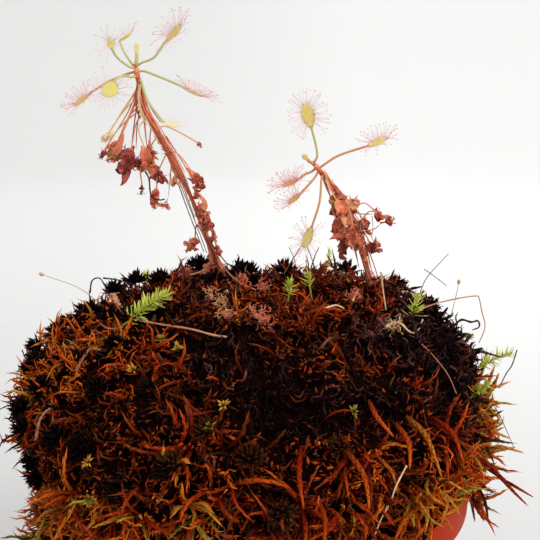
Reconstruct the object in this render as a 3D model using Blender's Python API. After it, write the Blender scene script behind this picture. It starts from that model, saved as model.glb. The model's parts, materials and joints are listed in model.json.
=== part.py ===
"""Potted sundew: two long-stemmed rosettes standing in a tall cushion of bog moss.

Lengths are in millimetres and turn into metres when a piece is finished.
The origin is the centre of the pot's flat underside, +Z is up and -Y is the front.
"""

import math
import random

import bmesh
import bpy
from mathutils import Matrix, Vector, noise
from mathutils.bvhtree import BVHTree

MM = 0.001
SEED = 41
GAP = 0.3

POT_HEIGHT = 105.0
POT_BASE_RADIUS = 47.0
POT_SHOULDER_RADIUS = 62.6
RIM_RADIUS = 68.0
RIM_BAND = 15.0
RIM_TAPER = 1.0
WALL = 1.9
FLOOR = 2.4
FOOT_BEVEL = 1.2
LIP_BEVEL = 0.6
POT_SIDES = 36
DRAIN_HOLES = 6
DRAIN_RADIUS = 4.0
DRAIN_CIRCLE = 30.0

MEDIUM_TOP = 99.7
MEDIUM_SIDES = 24

MOUND_SECTORS = 56
MOUND_CELL = 7.4
MOUND_PROFILE = [(0.0, 160.5), (18.0, 160.0), (34.0, 158.4), (54.0, 152.4),
                 (68.6, 141.0), (77.4, 126.0), (76.6, 112.0), (72.8, 98.0)]
MOUND_LEAN_LEFT = 0.04
MOUND_LUMP = 2.2
MOUND_LUMP_SIZE = 17.0
MOUND_JITTER = 1.5
LIP_FOLD_Z = 112.0
LIP_Z = 93.0
CUFF_RADIUS = 68.5
PLUG_RADIUS = 64.6
SPIKE_HEIGHT = (2.6, 6.4)
SPIKE_LEAN = 2.6
STRAND_COUNT = 84
STRAND_ROOT = 2.3
STRAND_LENGTH = (7.0, 12.5)

# Points are (x, y, z), the first two of a stem below the moss surface.
LEFT_STEM = [(-8.7, 18.3, 142.0), (-12.2, 15.1, 153.0), (-15.7, 12.0, 163.7), (-21.9, 6.0, 183.7),
             (-30.2, 2.0, 204.1), (-37.0, 0.4, 217.0), (-38.8, 0.0, 227.4)]
RIGHT_STEM = [(40.5, 13.8, 140.0), (37.8, 11.9, 149.8), (35.1, 10.0, 159.4), (29.3, 6.0, 178.5),
              (22.0, 3.0, 191.8), (16.6, 1.0, 198.3)]
STEM_RADIUS = 0.85
CROWN_RADIUS = 1.5
CROWN_HALF = 3.4
STEM_RINGS = 14
LEAF_SEAT_EXTRA = 0.08
LEAF_ROOT = 0.9

PETIOLE_RADIUS = 0.42
BLADE_HALF = 0.34
TENTACLE_ROOT = 0.2
TENTACLE_HEAD = 0.3

LEAF_YELLOW = (0.62, 0.42, 0.05)
LEAF_RED = (0.55, 0.08, 0.04)
LEAF_CREAM = (0.72, 0.55, 0.32)

# name: petiole points, blade tip, blade half width, facing, tentacles, tentacle length, colour
LEFT_LEAVES = {
    "sundew_left_leaf_1": ([(-40.3, 1.0, 230.2), (-42.8, 2.2, 233.8), (-44.2, 2.6, 237.2)],
                           (-40.4, 3.4, 239.6), 1.7, (-0.5, 0.1, 0.86), 11, 3.6, LEAF_YELLOW),
    "sundew_left_leaf_2": ([(-40.6, -1.4, 229.4), (-43.9, -3.8, 232.2), (-45.2, -5.2, 234.6)],
                           (-45.7, -5.9, 237.9), 1.1, (0.0, -1.0, 0.2), 8, 3.0, LEAF_YELLOW),
    "sundew_left_leaf_3": ([(-38.7, -0.2, 231.9), (-38.6, -0.3, 232.6), (-38.6, -0.4, 233.3)],
                           (-38.6, -0.6, 236.6), 0.8, (0.0, -1.0, 0.0), 8, 2.2, LEAF_YELLOW),
    "sundew_left_leaf_4": ([(-37.0, -0.3, 230.8), (-33.3, -0.8, 232.4), (-30.0, -1.0, 236.8)],
                           (-25.2, -1.4, 241.6), 1.9, (-0.45, -0.6, 0.6), 14, 4.8, LEAF_YELLOW),
    "sundew_left_leaf_5": ([(-36.6, 0.6, 228.2), (-30.4, 1.2, 225.8), (-25.9, 1.5, 223.9)],
                           (-18.5, 1.8, 220.4), 1.8, (0.35, 0.0, 0.94), 16, 4.8, LEAF_RED),
    "sundew_left_leaf_6": ([(-37.3, -1.9, 225.2), (-35.2, -3.4, 219.4), (-31.0, -4.2, 213.6)],
                           (-26.2, -4.8, 212.0), 1.6, (0.2, -0.3, 0.93), 11, 3.6, LEAF_CREAM),
    "sundew_left_leaf_7": ([(-40.2, -1.7, 226.6), (-42.4, -5.0, 227.0), (-44.1, -7.6, 226.0)],
                           (-46.9, -9.6, 221.2), 2.5, (-0.25, -0.95, 0.2), 16, 4.0, LEAF_YELLOW),
    "sundew_left_leaf_8": ([(-41.1, 0.3, 227.6), (-47.0, -0.3, 225.3), (-53.1, -1.0, 221.8)],
                           (-57.6, -1.6, 218.3), 1.5, (-0.3, -0.5, 0.8), 13, 3.8, LEAF_YELLOW),
}
RIGHT_LEAVES = {
    "sundew_right_leaf_1": ([(16.3, 0.9, 202.4), (15.8, 0.6, 205.8), (14.6, 0.4, 210.4)],
                            (12.3, 0.2, 218.4), 2.15, (0.05, -1.0, 0.1), 19, 4.2, LEAF_YELLOW),
    "sundew_right_leaf_2": ([(18.8, 0.8, 199.9), (23.2, 0.2, 202.7), (31.0, -0.5, 205.4)],
                            (37.2, -1.0, 208.2), 1.9, (-0.3, -0.45, 0.84), 18, 4.6, LEAF_RED),
    "sundew_right_leaf_3": ([(14.6, -0.9, 200.5), (13.9, -1.3, 200.9), (13.5, -1.6, 201.3)],
                            (11.6, -2.2, 203.2), 0.85, (-0.3, -0.9, 0.2), 8, 2.6, LEAF_YELLOW),
    "sundew_right_leaf_4": ([(14.5, 1.0, 197.4), (12.6, 1.0, 196.6), (11.2, 0.9, 195.6)],
                            (5.8, 0.6, 193.0), 1.8, (-0.35, -0.3, 0.9), 16, 4.4, LEAF_RED),
    "sundew_right_leaf_5": ([(15.5, -1.4, 195.9), (13.4, -2.4, 193.6), (11.6, -3.0, 191.8)],
                            (7.2, -3.8, 188.2), 1.6, (-0.5, -0.4, 0.75), 13, 3.8, LEAF_RED),
    "sundew_right_leaf_6": ([(17.6, -1.3, 195.3), (17.0, -3.6, 188.6), (14.9, -4.4, 181.8)],
                            (12.0, -4.8, 174.2), 1.7, (-0.5, -0.8, 0.2), 14, 4.0, LEAF_CREAM),
}

# Each withered leaf: height share on the stem, bend, drop end, crumpled blade length, half width.
LEFT_WITHERED = [
    (0.90, (-43.6, 1.6, 216.0), (-48.4, 1.2, 209.4), 4.6, 1.4),
    (0.86, (-42.4, 4.0, 214.0), (-46.0, 4.4, 206.6), 5.6, 1.7),
    (0.84, (-45.2, 3.4, 211.0), (-50.4, 2.8, 203.8), 2.4, 0.6),
    (0.82, (-40.0, 3.0, 212.0), (-41.6, 2.0, 204.6), 7.0, 2.2),
    (0.80, (-38.6, -1.4, 211.0), (-37.0, -2.4, 205.6), 7.6, 1.9),
    (0.77, (-36.0, 4.2, 207.0), (-35.2, 5.0, 200.0), 4.8, 1.3),
    (0.73, (-38.4, 1.0, 200.0), (-38.4, 0.0, 193.6), 2.6, 0.5),
    (0.66, (-33.6, 3.2, 197.0), (-34.2, 2.6, 192.0), 5.4, 1.3),
    (0.74, (-30.0, 0.6, 211.4), (-20.6, -0.4, 206.6), 1.6, 0.5),
    (0.66, (-26.6, 0.8, 202.6), (-22.6, -0.2, 197.2), 4.6, 1.6),
    (0.46, (-21.0, 5.6, 186.6), (-19.4, 4.6, 183.2), 3.6, 1.2),
    (0.34, (-21.6, 7.8, 178.8), (-22.8, 7.4, 175.2), 3.4, 1.1),
    (0.28, (-16.8, 9.0, 175.8), (-15.9, 8.4, 172.4), 3.0, 1.0),
]
RIGHT_WITHERED = [
    (0.88, (20.4, 0.2, 192.0), (22.6, -0.6, 188.4), 6.4, 1.9),
    (0.84, (22.6, 5.4, 189.0), (25.8, 6.6, 186.0), 6.8, 2.0),
    (0.80, (21.0, 0.4, 186.8), (22.2, -0.2, 182.8), 5.6, 1.7),
    (0.74, (26.8, 2.0, 184.0), (27.8, 1.2, 180.0), 6.0, 1.8),
    (0.72, (29.0, 5.0, 185.0), (31.2, 5.4, 181.6), 3.4, 1.2),
    (0.66, (31.4, 4.0, 187.0), (35.4, 3.6, 184.0), 2.6, 1.0),
    (0.60, (33.6, 7.0, 183.6), (38.8, 7.2, 182.0), 3.0, 0.9),
    (0.58, (26.0, 5.0, 178.0), (25.4, 4.4, 175.0), 4.0, 1.4),
    (0.46, (32.2, 7.6, 176.0), (34.0, 7.4, 173.6), 3.4, 1.3),
]

# Green moss sprigs: seat (x, y), lean direction, length, reach of its leaves, leaves.
SPRIGS = {
    "moss_sprig_1": ((-35.0, -30.0), (0.45, -0.25, 0.85), 15.0, 3.4, 18),
    "moss_sprig_2": ((7.5, -8.0), (0.1, -0.2, 1.0), 8.0, 2.6, 10),
    "moss_sprig_3": ((14.5, 4.0), (-0.15, -0.1, 1.0), 9.0, 2.4, 10),
    "moss_sprig_4": ((45.6, -14.0), (0.2, -0.2, 1.0), 8.5, 2.4, 10),
    "moss_sprig_5": ((62.0, -33.0), (0.5, -0.5, 0.75), 7.5, 2.4, 9),
    "moss_sprig_6": ((69.5, -6.0), (0.85, -0.3, 0.5), 10.0, 2.8, 14),
    "moss_sprig_7": ((-42.0, 34.0), (-0.3, 0.4, 0.9), 10.0, 2.8, 11),
    "moss_sprig_8": ((22.0, 44.0), (0.2, 0.5, 0.9), 9.0, 2.6, 10),
}
SPRIG_STEM = 0.6

# Hair-thin standing stalks: seat (x, y), point over the seat, tip, radius, capsule radius.
STALKS = {
    "capsule_stalk_1": ((-62.0, 2.0), (-64.0, 1.0, 158.0), (-53.5, -1.0, 164.4), 0.4, 1.1),
    "capsule_stalk_2": ((61.0, 6.0), (62.5, 5.0, 156.0), (63.0, 4.0, 161.0), 0.4, 0.9),
    "dry_stalk_1": ((50.5, 9.0), (53.0, 8.0, 161.0), (59.6, 6.0, 170.0), 0.4, 0.4),
    "dry_stalk_2": ((18.0, 12.0), (15.0, 12.5, 168.0), (12.0, 13.0, 175.4), 0.42, 0.42),
}

# Straws rooted at both ends in the moss: heading and height of each end on the mound's side.
STRAWS = [
    ((-42.0, -30.0), (-13.0, -36.0), 4.5, 0.6),
    ((49.0, -12.0), (66.0, -18.0), 7.0, 0.7),
    ((38.0, -62.0), (49.0, -34.0), 8.0, 0.6),
    ((-20.0, 40.0), (10.0, 46.0), 5.0, 0.6),
    ((-58.0, 20.0), (-40.0, 44.0), 6.0, 0.6),
]


def clear_scene():
    """Remove every object of the start-up scene."""
    for item in list(bpy.data.objects):
        bpy.data.objects.remove(item, do_unlink=True)


def material(name, colour, roughness):
    """A Principled material with one colour."""
    finish = bpy.data.materials.new(name)
    finish.use_nodes = True
    shader = finish.node_tree.nodes["Principled BSDF"]
    shader.inputs["Base Color"].default_value = (*colour, 1.0)
    shader.inputs["Roughness"].default_value = roughness
    shader.inputs["Metallic"].default_value = 0.0
    return finish


def object_from(mesh_builder, name):
    """Close a bmesh into an object with its faces pointing out."""
    bmesh.ops.recalc_face_normals(mesh_builder, faces=mesh_builder.faces[:])
    mesh = bpy.data.meshes.new(name)
    mesh_builder.to_mesh(mesh)
    mesh_builder.free()
    item = bpy.data.objects.new(name, mesh)
    bpy.context.scene.collection.objects.link(item)
    return item


def combine(target, others, operation, solver="EXACT"):
    """Join or cut the target with other solids in one Boolean, then remove them."""
    group = bpy.data.collections.new(target.name + "_parts")
    for item in others:
        group.objects.link(item)
    step = target.modifiers.new("combine", "BOOLEAN")
    step.operand_type = "COLLECTION"
    step.collection = group
    step.operation = operation
    step.solver = solver
    view = bpy.context.evaluated_depsgraph_get()
    result = bpy.data.meshes.new_from_object(target.evaluated_get(view))
    target.modifiers.remove(step)
    target.data = result
    for item in list(others):
        bpy.data.objects.remove(item, do_unlink=True)
    bpy.data.collections.remove(group)
    return target


def keep_largest_body(item):
    """Drop every loose scrap that is not joined to the main body."""
    builder = bmesh.new()
    builder.from_mesh(item.data)
    unseen = set(builder.verts)
    bodies = []
    while unseen:
        front = [unseen.pop()]
        body = set(front)
        while front:
            vert = front.pop()
            for edge in vert.link_edges:
                other = edge.other_vert(vert)
                if other in unseen:
                    unseen.discard(other)
                    body.add(other)
                    front.append(other)
        bodies.append(body)
    bodies.sort(key=len, reverse=True)
    for body in bodies[1:]:
        bmesh.ops.delete(builder, geom=list(body), context="VERTS")
    builder.to_mesh(item.data)
    builder.free()


def finish(item, colour, roughness, smooth_angle=None):
    """Name the node, turn its mesh into metres and give it its material."""
    item.data.transform(Matrix.Scale(MM, 4))
    item.data.name = item.name
    item.data.materials.clear()
    item.data.materials.append(material(item.name + "_finish", colour, roughness))
    if smooth_angle is not None:
        item.data.shade_smooth()
        item.data.set_sharp_from_angle(angle=math.radians(smooth_angle))
    return item


def smooth_path(points, count):
    """Points spaced along a smooth curve through the given ones."""
    nodes = [Vector(p) for p in points]
    nodes = [nodes[0] * 2 - nodes[1]] + nodes + [nodes[-1] * 2 - nodes[-2]]
    spans = len(nodes) - 3
    path = []
    for step in range(count):
        place = step / (count - 1) * spans
        span = min(int(place), spans - 1)
        t = place - span
        a, b, c, d = nodes[span:span + 4]
        path.append(0.5 * ((b * 2) + (c - a) * t + (a * 2 - b * 5 + c * 4 - d) * t * t
                           + (b * 3 - a - c * 3 + d) * t ** 3))
    return path


def sweep(builder, path, widths, heights, facing, sides=6, cup=0.0):
    """Closed body along a path, each ring an oval with its height turned to the facing side."""
    normal = Vector(facing)
    rings = []
    last = len(path) - 1
    for i, point in enumerate(path):
        tangent = (path[min(i + 1, last)] - path[max(i - 1, 0)]).normalized()
        normal = (normal - tangent * normal.dot(tangent)).normalized()
        side = tangent.cross(normal)
        if widths[i] <= 0.0:
            rings.append([builder.verts.new(point)])
            continue
        ring = []
        for k in range(sides):
            turn = math.tau * k / sides
            across = math.cos(turn)
            lift = heights[i] * math.sin(turn) + cup * widths[i] * across * across
            ring.append(builder.verts.new(point + side * widths[i] * across + normal * lift))
        rings.append(ring)
    for a, b in zip(rings, rings[1:]):
        for k in range(sides):
            n = (k + 1) % sides
            if len(a) == 1:
                builder.faces.new((a[0], b[k], b[n]))
            elif len(b) == 1:
                builder.faces.new((a[k], b[0], a[n]))
            else:
                builder.faces.new((a[k], b[k], b[n], a[n]))
    for ring in (rings[0], rings[-1]):
        if len(ring) > 1:
            builder.faces.new(ring)


def swept_object(name, path, widths, heights, facing, sides=6, cup=0.0):
    """One closed swept body as an object of its own."""
    builder = bmesh.new()
    sweep(builder, path, widths, heights, facing, sides, cup)
    return object_from(builder, name)


def needle(root, tip, root_radius, head_radius):
    """Three-sided tentacle that thickens to a gland just before its tip."""
    path = [root, root.lerp(tip, 0.86), tip]
    return swept_object("needle", path, [root_radius, head_radius, 0.0],
                        [root_radius, head_radius, 0.0], (0.31, 0.52, 0.8), sides=3)


def spike(points, radius, rings, sides=3, tip_share=0.2):
    """Tapered strand along a smooth curve, thickest a third of the way up."""
    path = smooth_path(points, rings)
    radii = []
    for i in range(rings):
        t = i / (rings - 1)
        swell = math.sin(math.pi * min(t * 0.72 + 0.28, 1.0))
        radii.append(radius * max(swell, tip_share))
    radii[-1] = 0.0
    return swept_object("spike", path, radii, radii, (0.23, 0.41, 0.88), sides)


def lathe(builder, profile, sides):
    """Turn a closed profile of (radius, z) about the Z axis; radius 0 becomes a pole."""
    rings = []
    for radius, z in profile:
        if radius == 0.0:
            rings.append([builder.verts.new((0.0, 0.0, z))])
            continue
        rings.append([builder.verts.new((radius * math.cos(math.tau * k / sides),
                                         radius * math.sin(math.tau * k / sides), z))
                      for k in range(sides)])
    for a, b in zip(rings, rings[1:]):
        for k in range(sides):
            n = (k + 1) % sides
            if len(a) == 1:
                builder.faces.new((a[0], b[k], b[n]))
            elif len(b) == 1:
                builder.faces.new((a[k], a[n], b[0]))
            else:
                builder.faces.new((a[k], a[n], b[n], b[k]))


def cylinder(name, start, end, radius, sides=12):
    """Closed cylinder between two points."""
    path = [Vector(start), Vector(end)]
    return swept_object(name, path, [radius, radius], [radius, radius], (0.37, 0.61, 0.2), sides)


def make_pot():
    """Tapered pot with a deep rim band and drain holes round a solid centre."""
    band_foot = POT_HEIGHT - RIM_BAND
    rim_foot_radius = RIM_RADIUS - RIM_TAPER
    profile = [
        (0.0, 0.0),
        (POT_BASE_RADIUS, 0.0),
        (POT_BASE_RADIUS + FOOT_BEVEL, FOOT_BEVEL),
        (POT_SHOULDER_RADIUS, band_foot),
        (rim_foot_radius, band_foot),
        (RIM_RADIUS, POT_HEIGHT - LIP_BEVEL),
        (RIM_RADIUS - LIP_BEVEL, POT_HEIGHT),
        (RIM_RADIUS - WALL + LIP_BEVEL / 2, POT_HEIGHT),
        (RIM_RADIUS - WALL, POT_HEIGHT - LIP_BEVEL),
        (rim_foot_radius - WALL, band_foot + WALL),
        (POT_SHOULDER_RADIUS - WALL, band_foot + WALL),
        (POT_BASE_RADIUS + FOOT_BEVEL - WALL, FLOOR),
        (0.0, FLOOR),
    ]
    builder = bmesh.new()
    lathe(builder, profile, POT_SIDES)
    pot = object_from(builder, "pot")
    holes = []
    for i in range(DRAIN_HOLES):
        turn = math.tau * (i + 0.5) / DRAIN_HOLES
        x, y = DRAIN_CIRCLE * math.cos(turn), DRAIN_CIRCLE * math.sin(turn)
        holes.append(cylinder("hole", (x, y, -FLOOR), (x, y, 2 * FLOOR), DRAIN_RADIUS))
    combine(pot, holes, "DIFFERENCE")
    return finish(pot, (0.5, 0.06, 0.02), 0.42, 40.0)


def make_medium():
    """Growing medium that fills the pot up to just under its rim."""
    band_foot = POT_HEIGHT - RIM_BAND
    facet = 1.0 / math.cos(math.pi / POT_SIDES)
    wall_in = WALL + GAP
    profile = [
        (0.0, FLOOR + GAP),
        ((POT_BASE_RADIUS + FOOT_BEVEL - wall_in - 0.2) / facet, FLOOR + GAP),
        ((POT_SHOULDER_RADIUS - wall_in - 0.2) / facet, band_foot + WALL + GAP),
        ((RIM_RADIUS - RIM_TAPER - wall_in) / facet, band_foot + WALL + GAP),
        ((RIM_RADIUS - RIM_TAPER - wall_in) / facet, MEDIUM_TOP),
        (0.0, MEDIUM_TOP),
    ]
    builder = bmesh.new()
    lathe(builder, profile, MEDIUM_SIDES)
    return finish(object_from(builder, "growing_medium"), (0.05, 0.03, 0.015), 0.95)


def lip_height(turn):
    """Height of the moss edge over the pot's side, lower where clumps hang down."""
    def hang(centre, width):
        """Share of a hanging clump at this heading."""
        away = (math.degrees(turn) - centre + 180.0) % 360.0 - 180.0
        return math.exp(-(away / width) ** 2)
    wave = 2.4 * noise.noise(Vector((3.0 * math.cos(turn), 3.0 * math.sin(turn), 7.3)))
    return LIP_Z + wave - 21.0 * hang(188.0, 13.0) - 7.0 * hang(338.0, 16.0) - 4.0 * hang(265.0, 30.0)


def outer_profile():
    """Mound profile points spaced one cell apart, from the crown to the lip."""
    fine = smooth_path([(r, 0.0, z) for r, z in MOUND_PROFILE], 400)
    points = [fine[0]]
    walked = 0.0
    for a, b in zip(fine, fine[1:]):
        walked += (b - a).length
        if walked >= MOUND_CELL:
            points.append(b)
            walked = 0.0
    points[-1] = fine[-1]
    return [(p.x, p.z) for p in points]


def sectors_at(radius):
    """Cells round one ring, halved as the rings close in on the crown."""
    count = MOUND_SECTORS
    while count > 8 and math.tau * radius / count < 0.62 * MOUND_CELL:
        count //= 2
    return count


def skin_point(radius, z, turn, rng):
    """One point of the mound's skin with its lumps and jitter."""
    lean = 1.0 + MOUND_LEAN_LEFT * -math.cos(turn)
    if z < LIP_FOLD_Z:
        share = (LIP_FOLD_Z - z) / (LIP_FOLD_Z - MOUND_PROFILE[-1][1])
        z = LIP_FOLD_Z - share * (LIP_FOLD_Z - lip_height(turn))
    point = Vector((radius * lean * math.cos(turn), radius * lean * math.sin(turn), z))
    lump = MOUND_LUMP * noise.noise(point / MOUND_LUMP_SIZE)
    outward = Vector((point.x, point.y, 0.9 * (point.z - 118.0))).normalized()
    wobble = Vector([rng.uniform(-1.0, 1.0) for _ in range(3)]) * MOUND_JITTER
    return point + outward * lump + wobble * min(1.0, radius / 12.0)


def bridge(builder, outer, inner):
    """Faces between two rings, the inner one with as many or half as many points."""
    faces = []
    count = len(inner)
    if count == 1:
        for k, vert in enumerate(outer):
            faces.append(builder.faces.new((vert, outer[(k + 1) % len(outer)], inner[0])))
    elif len(outer) == count:
        for k in range(count):
            n = (k + 1) % count
            faces.append(builder.faces.new((outer[k], outer[n], inner[n], inner[k])))
    else:
        for k in range(count):
            n = (k + 1) % count
            a, b, c = outer[2 * k], outer[2 * k + 1], outer[(2 * k + 2) % len(outer)]
            faces.append(builder.faces.new((a, b, inner[k])))
            faces.append(builder.faces.new((b, inner[n], inner[k])))
            faces.append(builder.faces.new((b, c, inner[n])))
    return faces


def mound_base(rng):
    """Closed mound with its plug in the pot, and the list of its outer faces."""
    builder = bmesh.new()
    rings = []
    for radius, z in reversed(outer_profile()):
        if radius == 0.0:
            rings.append([builder.verts.new(skin_point(0.0, z, 0.0, rng))])
            continue
        count = sectors_at(radius)
        rings.append([builder.verts.new(skin_point(radius, z, math.tau * k / count, rng))
                      for k in range(count)])
    skin = []
    for outer, inner in zip(rings, rings[1:]):
        skin += bridge(builder, outer, inner)
    under = []
    seat_z = POT_HEIGHT + GAP
    for radius, z in ((CUFF_RADIUS, None), (CUFF_RADIUS, seat_z), (PLUG_RADIUS, seat_z),
                      (PLUG_RADIUS, MEDIUM_TOP + GAP)):
        ring = []
        for k in range(MOUND_SECTORS):
            turn = math.tau * k / MOUND_SECTORS
            height = lip_height(turn) + 1.6 if z is None else z
            ring.append(builder.verts.new((radius * math.cos(turn), radius * math.sin(turn), height)))
        under.append(ring)
    bridge(builder, rings[0], under[0])
    for a, b in zip(under, under[1:]):
        bridge(builder, a, b)
    builder.faces.new(under[-1])
    return builder, skin


def crossing_verts(builder):
    """Vertices of faces that cut through faces they do not touch."""
    builder.verts.index_update()
    builder.faces.ensure_lookup_table()
    tree = BVHTree.FromBMesh(builder)
    found = set()
    for a, b in tree.overlap(tree):
        if a == b:
            continue
        first = set(builder.faces[a].verts)
        second = set(builder.faces[b].verts)
        if not first & second:
            found |= first | second
    return found


def raise_spikes(builder, skin, rng):
    """Poke each outer face into a leaning spike, and shorten those that cross."""
    bmesh.ops.recalc_face_normals(builder, faces=builder.faces[:])
    normals = {face: face.normal.copy() for face in skin}
    sizes = {face: math.sqrt(face.calc_area()) for face in skin}
    order = [(normals[face], sizes[face]) for face in skin]
    verts = bmesh.ops.poke(builder, faces=skin)["verts"]
    tips = {}
    for vert, (normal, size) in zip(verts, order):
        flow = Vector((noise.noise(vert.co / 21.0), noise.noise(vert.co / 21.0 + Vector((9.0, 0.0, 0.0))),
                       -0.5)) * 1.6
        flow += Vector([rng.uniform(-0.5, 0.5) for _ in range(3)])
        flow -= normal * flow.dot(normal)
        height = rng.uniform(*SPIKE_HEIGHT) * min(1.0, size / MOUND_CELL)
        lean = flow * SPIKE_LEAN * min(1.0, size / MOUND_CELL)
        tips[vert] = (vert.co.copy(), normal * height + lean)
        vert.co = tips[vert][0] + tips[vert][1]
    for _ in range(8):
        crossing = crossing_verts(builder) & set(tips)
        if not crossing:
            break
        for vert in crossing:
            start, rise = tips[vert]
            tips[vert] = (start, rise * 0.6)
            vert.co = start + tips[vert][1]


def hit(tree, start, direction):
    """Point and outward normal where a line meets the mound's skin."""
    place, normal, _, _ = tree.ray_cast(Vector(start), Vector(direction).normalized())
    return place, normal


def strand(tree, start, direction, rng):
    """One moss strand rooted in the mound, leaning along its surface and drooping."""
    place, normal = hit(tree, start, direction)
    side = Vector([rng.uniform(-1.0, 1.0) for _ in range(3)])
    side = (side - normal * side.dot(normal)).normalized()
    droop = Vector((0.0, 0.0, -1.0))
    droop = droop - normal * droop.dot(normal)
    length = rng.uniform(*STRAND_LENGTH)
    along = (normal * 0.55 + side * 0.55 + droop * 0.7).normalized()
    bend = (normal * 0.15 + side * 0.4 + droop * 1.1).normalized()
    points = [place - normal * STRAND_ROOT, place + normal * 1.6, place + normal * 1.6 + along * length * 0.5,
              place + normal * 1.6 + along * length * 0.5 + bend * length * 0.5]
    return spike(points, rng.uniform(1.0, 1.5), 4)


def mound_strands(tree, rng):
    """Strands spread evenly over the mound, with more of them on its sides."""
    strands = []
    count = STRAND_COUNT
    for i in range(count):
        turn = i * math.pi * (3.0 - math.sqrt(5.0))
        level = (i + 0.5) / count
        if level < 0.32:
            radius = 68.0 * math.sqrt(level / 0.32)
            start = (radius * math.cos(turn), radius * math.sin(turn), 200.0)
            strands.append(strand(tree, start, (0.0, 0.0, -1.0), rng))
        else:
            z = 142.0 - 46.0 * (level - 0.32) / 0.68
            start = (130.0 * math.cos(turn), 130.0 * math.sin(turn), z)
            strands.append(strand(tree, start, (-math.cos(turn), -math.sin(turn), 0.0), rng))
    return strands


def mound_straws(tree):
    """Dry straws that arch over the moss with both ends rooted in it."""
    straws = []
    for first, second, rise, radius in STRAWS:
        a, _ = hit(tree, (*first, 200.0), (0.0, 0.0, -1.0))
        b, _ = hit(tree, (*second, 200.0), (0.0, 0.0, -1.0))
        down = Vector((0.0, 0.0, -4.0))
        up = Vector((0.0, 0.0, rise))
        path = smooth_path([a + down, a.lerp(b, 0.12) + up * 0.6, a.lerp(b, 0.5) + up,
                            a.lerp(b, 0.88) + up * 0.6, b + down], 9)
        radii = [radius] * len(path)
        straws.append(swept_object("straw", path, radii, radii, (0.1, 0.2, 0.9), 4))
    return straws


def seat_of(tree, spot):
    """Point of the skin straight under a spot (x, y)."""
    return hit(tree, (*spot, 220.0), (0.0, 0.0, -1.0))[0]


def crown_line(line):
    """Middle of a stem's crown and the direction of its axis."""
    path = smooth_path(line, STEM_RINGS)
    return path[-1], (path[-1] - path[-2]).normalized()


def sweep_crown(builder, line):
    """Swollen growing tip where the live leaves are seated."""
    top, axis = crown_line(line)
    path = [top + axis * CROWN_HALF * s for s in (-1.0, -0.75, -0.25, 0.25, 0.75, 1.0)]
    radii = [0.0, CROWN_RADIUS * 0.7, CROWN_RADIUS, CROWN_RADIUS, CROWN_RADIUS * 0.66, 0.0]
    sweep(builder, path, radii, radii, (0.1, -1.0, 0.0), 8)


def leaf_seat(line, near):
    """Seat of a leaf on the crown, just clear of it, and the way out of the surface there."""
    top, axis = crown_line(line)
    near = Vector(near)
    height = max(-0.6, min(0.6, (near - top).dot(axis) / CROWN_HALF))
    inside = top + axis * height * CROWN_HALF
    out = (near - inside).normalized()
    builder = bmesh.new()
    sweep_crown(builder, line)
    tree = BVHTree.FromBMesh(builder)
    builder.free()
    place = tree.ray_cast(inside, out)[0]
    return place + out * (GAP + LEAF_SEAT_EXTRA), out


def make_stem(name, line, withered):
    """Tall stem with its crown, its withered leaves and their bases."""
    path = smooth_path(line, STEM_RINGS)
    radii = [STEM_RADIUS] * len(path)
    stem = swept_object(name, path, radii, radii, (0.1, -1.0, 0.0), 6)
    builder = bmesh.new()
    sweep_crown(builder, line)
    parts = [object_from(builder, "crown")]
    for i, (share, bend, end, length, half) in enumerate(withered):
        start = smooth_path(line, 101)[round(share * 100)]
        bend, end = Vector(bend), Vector(end)
        fall = (end - bend).normalized()
        tip = end + (fall + Vector((0.25 * math.sin(2.1 * i), 0.2 * math.cos(1.7 * i), -0.5))) * length * 0.8
        middle = (end + tip) / 2 + Vector((0.3 * math.cos(3.0 * i), -0.3 * math.sin(2.0 * i), 0.2))
        track = smooth_path([start, bend, end, middle, tip], 9)
        thick = PETIOLE_RADIUS * 1.1
        widths = [thick] * 5 + [half * 0.85, half, half * 0.7, 0.0]
        heights = [thick] * 5 + [0.5, 0.6, 0.46, 0.0]
        parts.append(swept_object("withered", track, widths, heights, (math.sin(i), -1.0, 0.4), 4, 0.5))
    combine(stem, parts, "UNION", "MANIFOLD")
    keep_largest_body(stem)
    return finish(stem, (0.23, 0.06, 0.03), 0.7)


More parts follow.
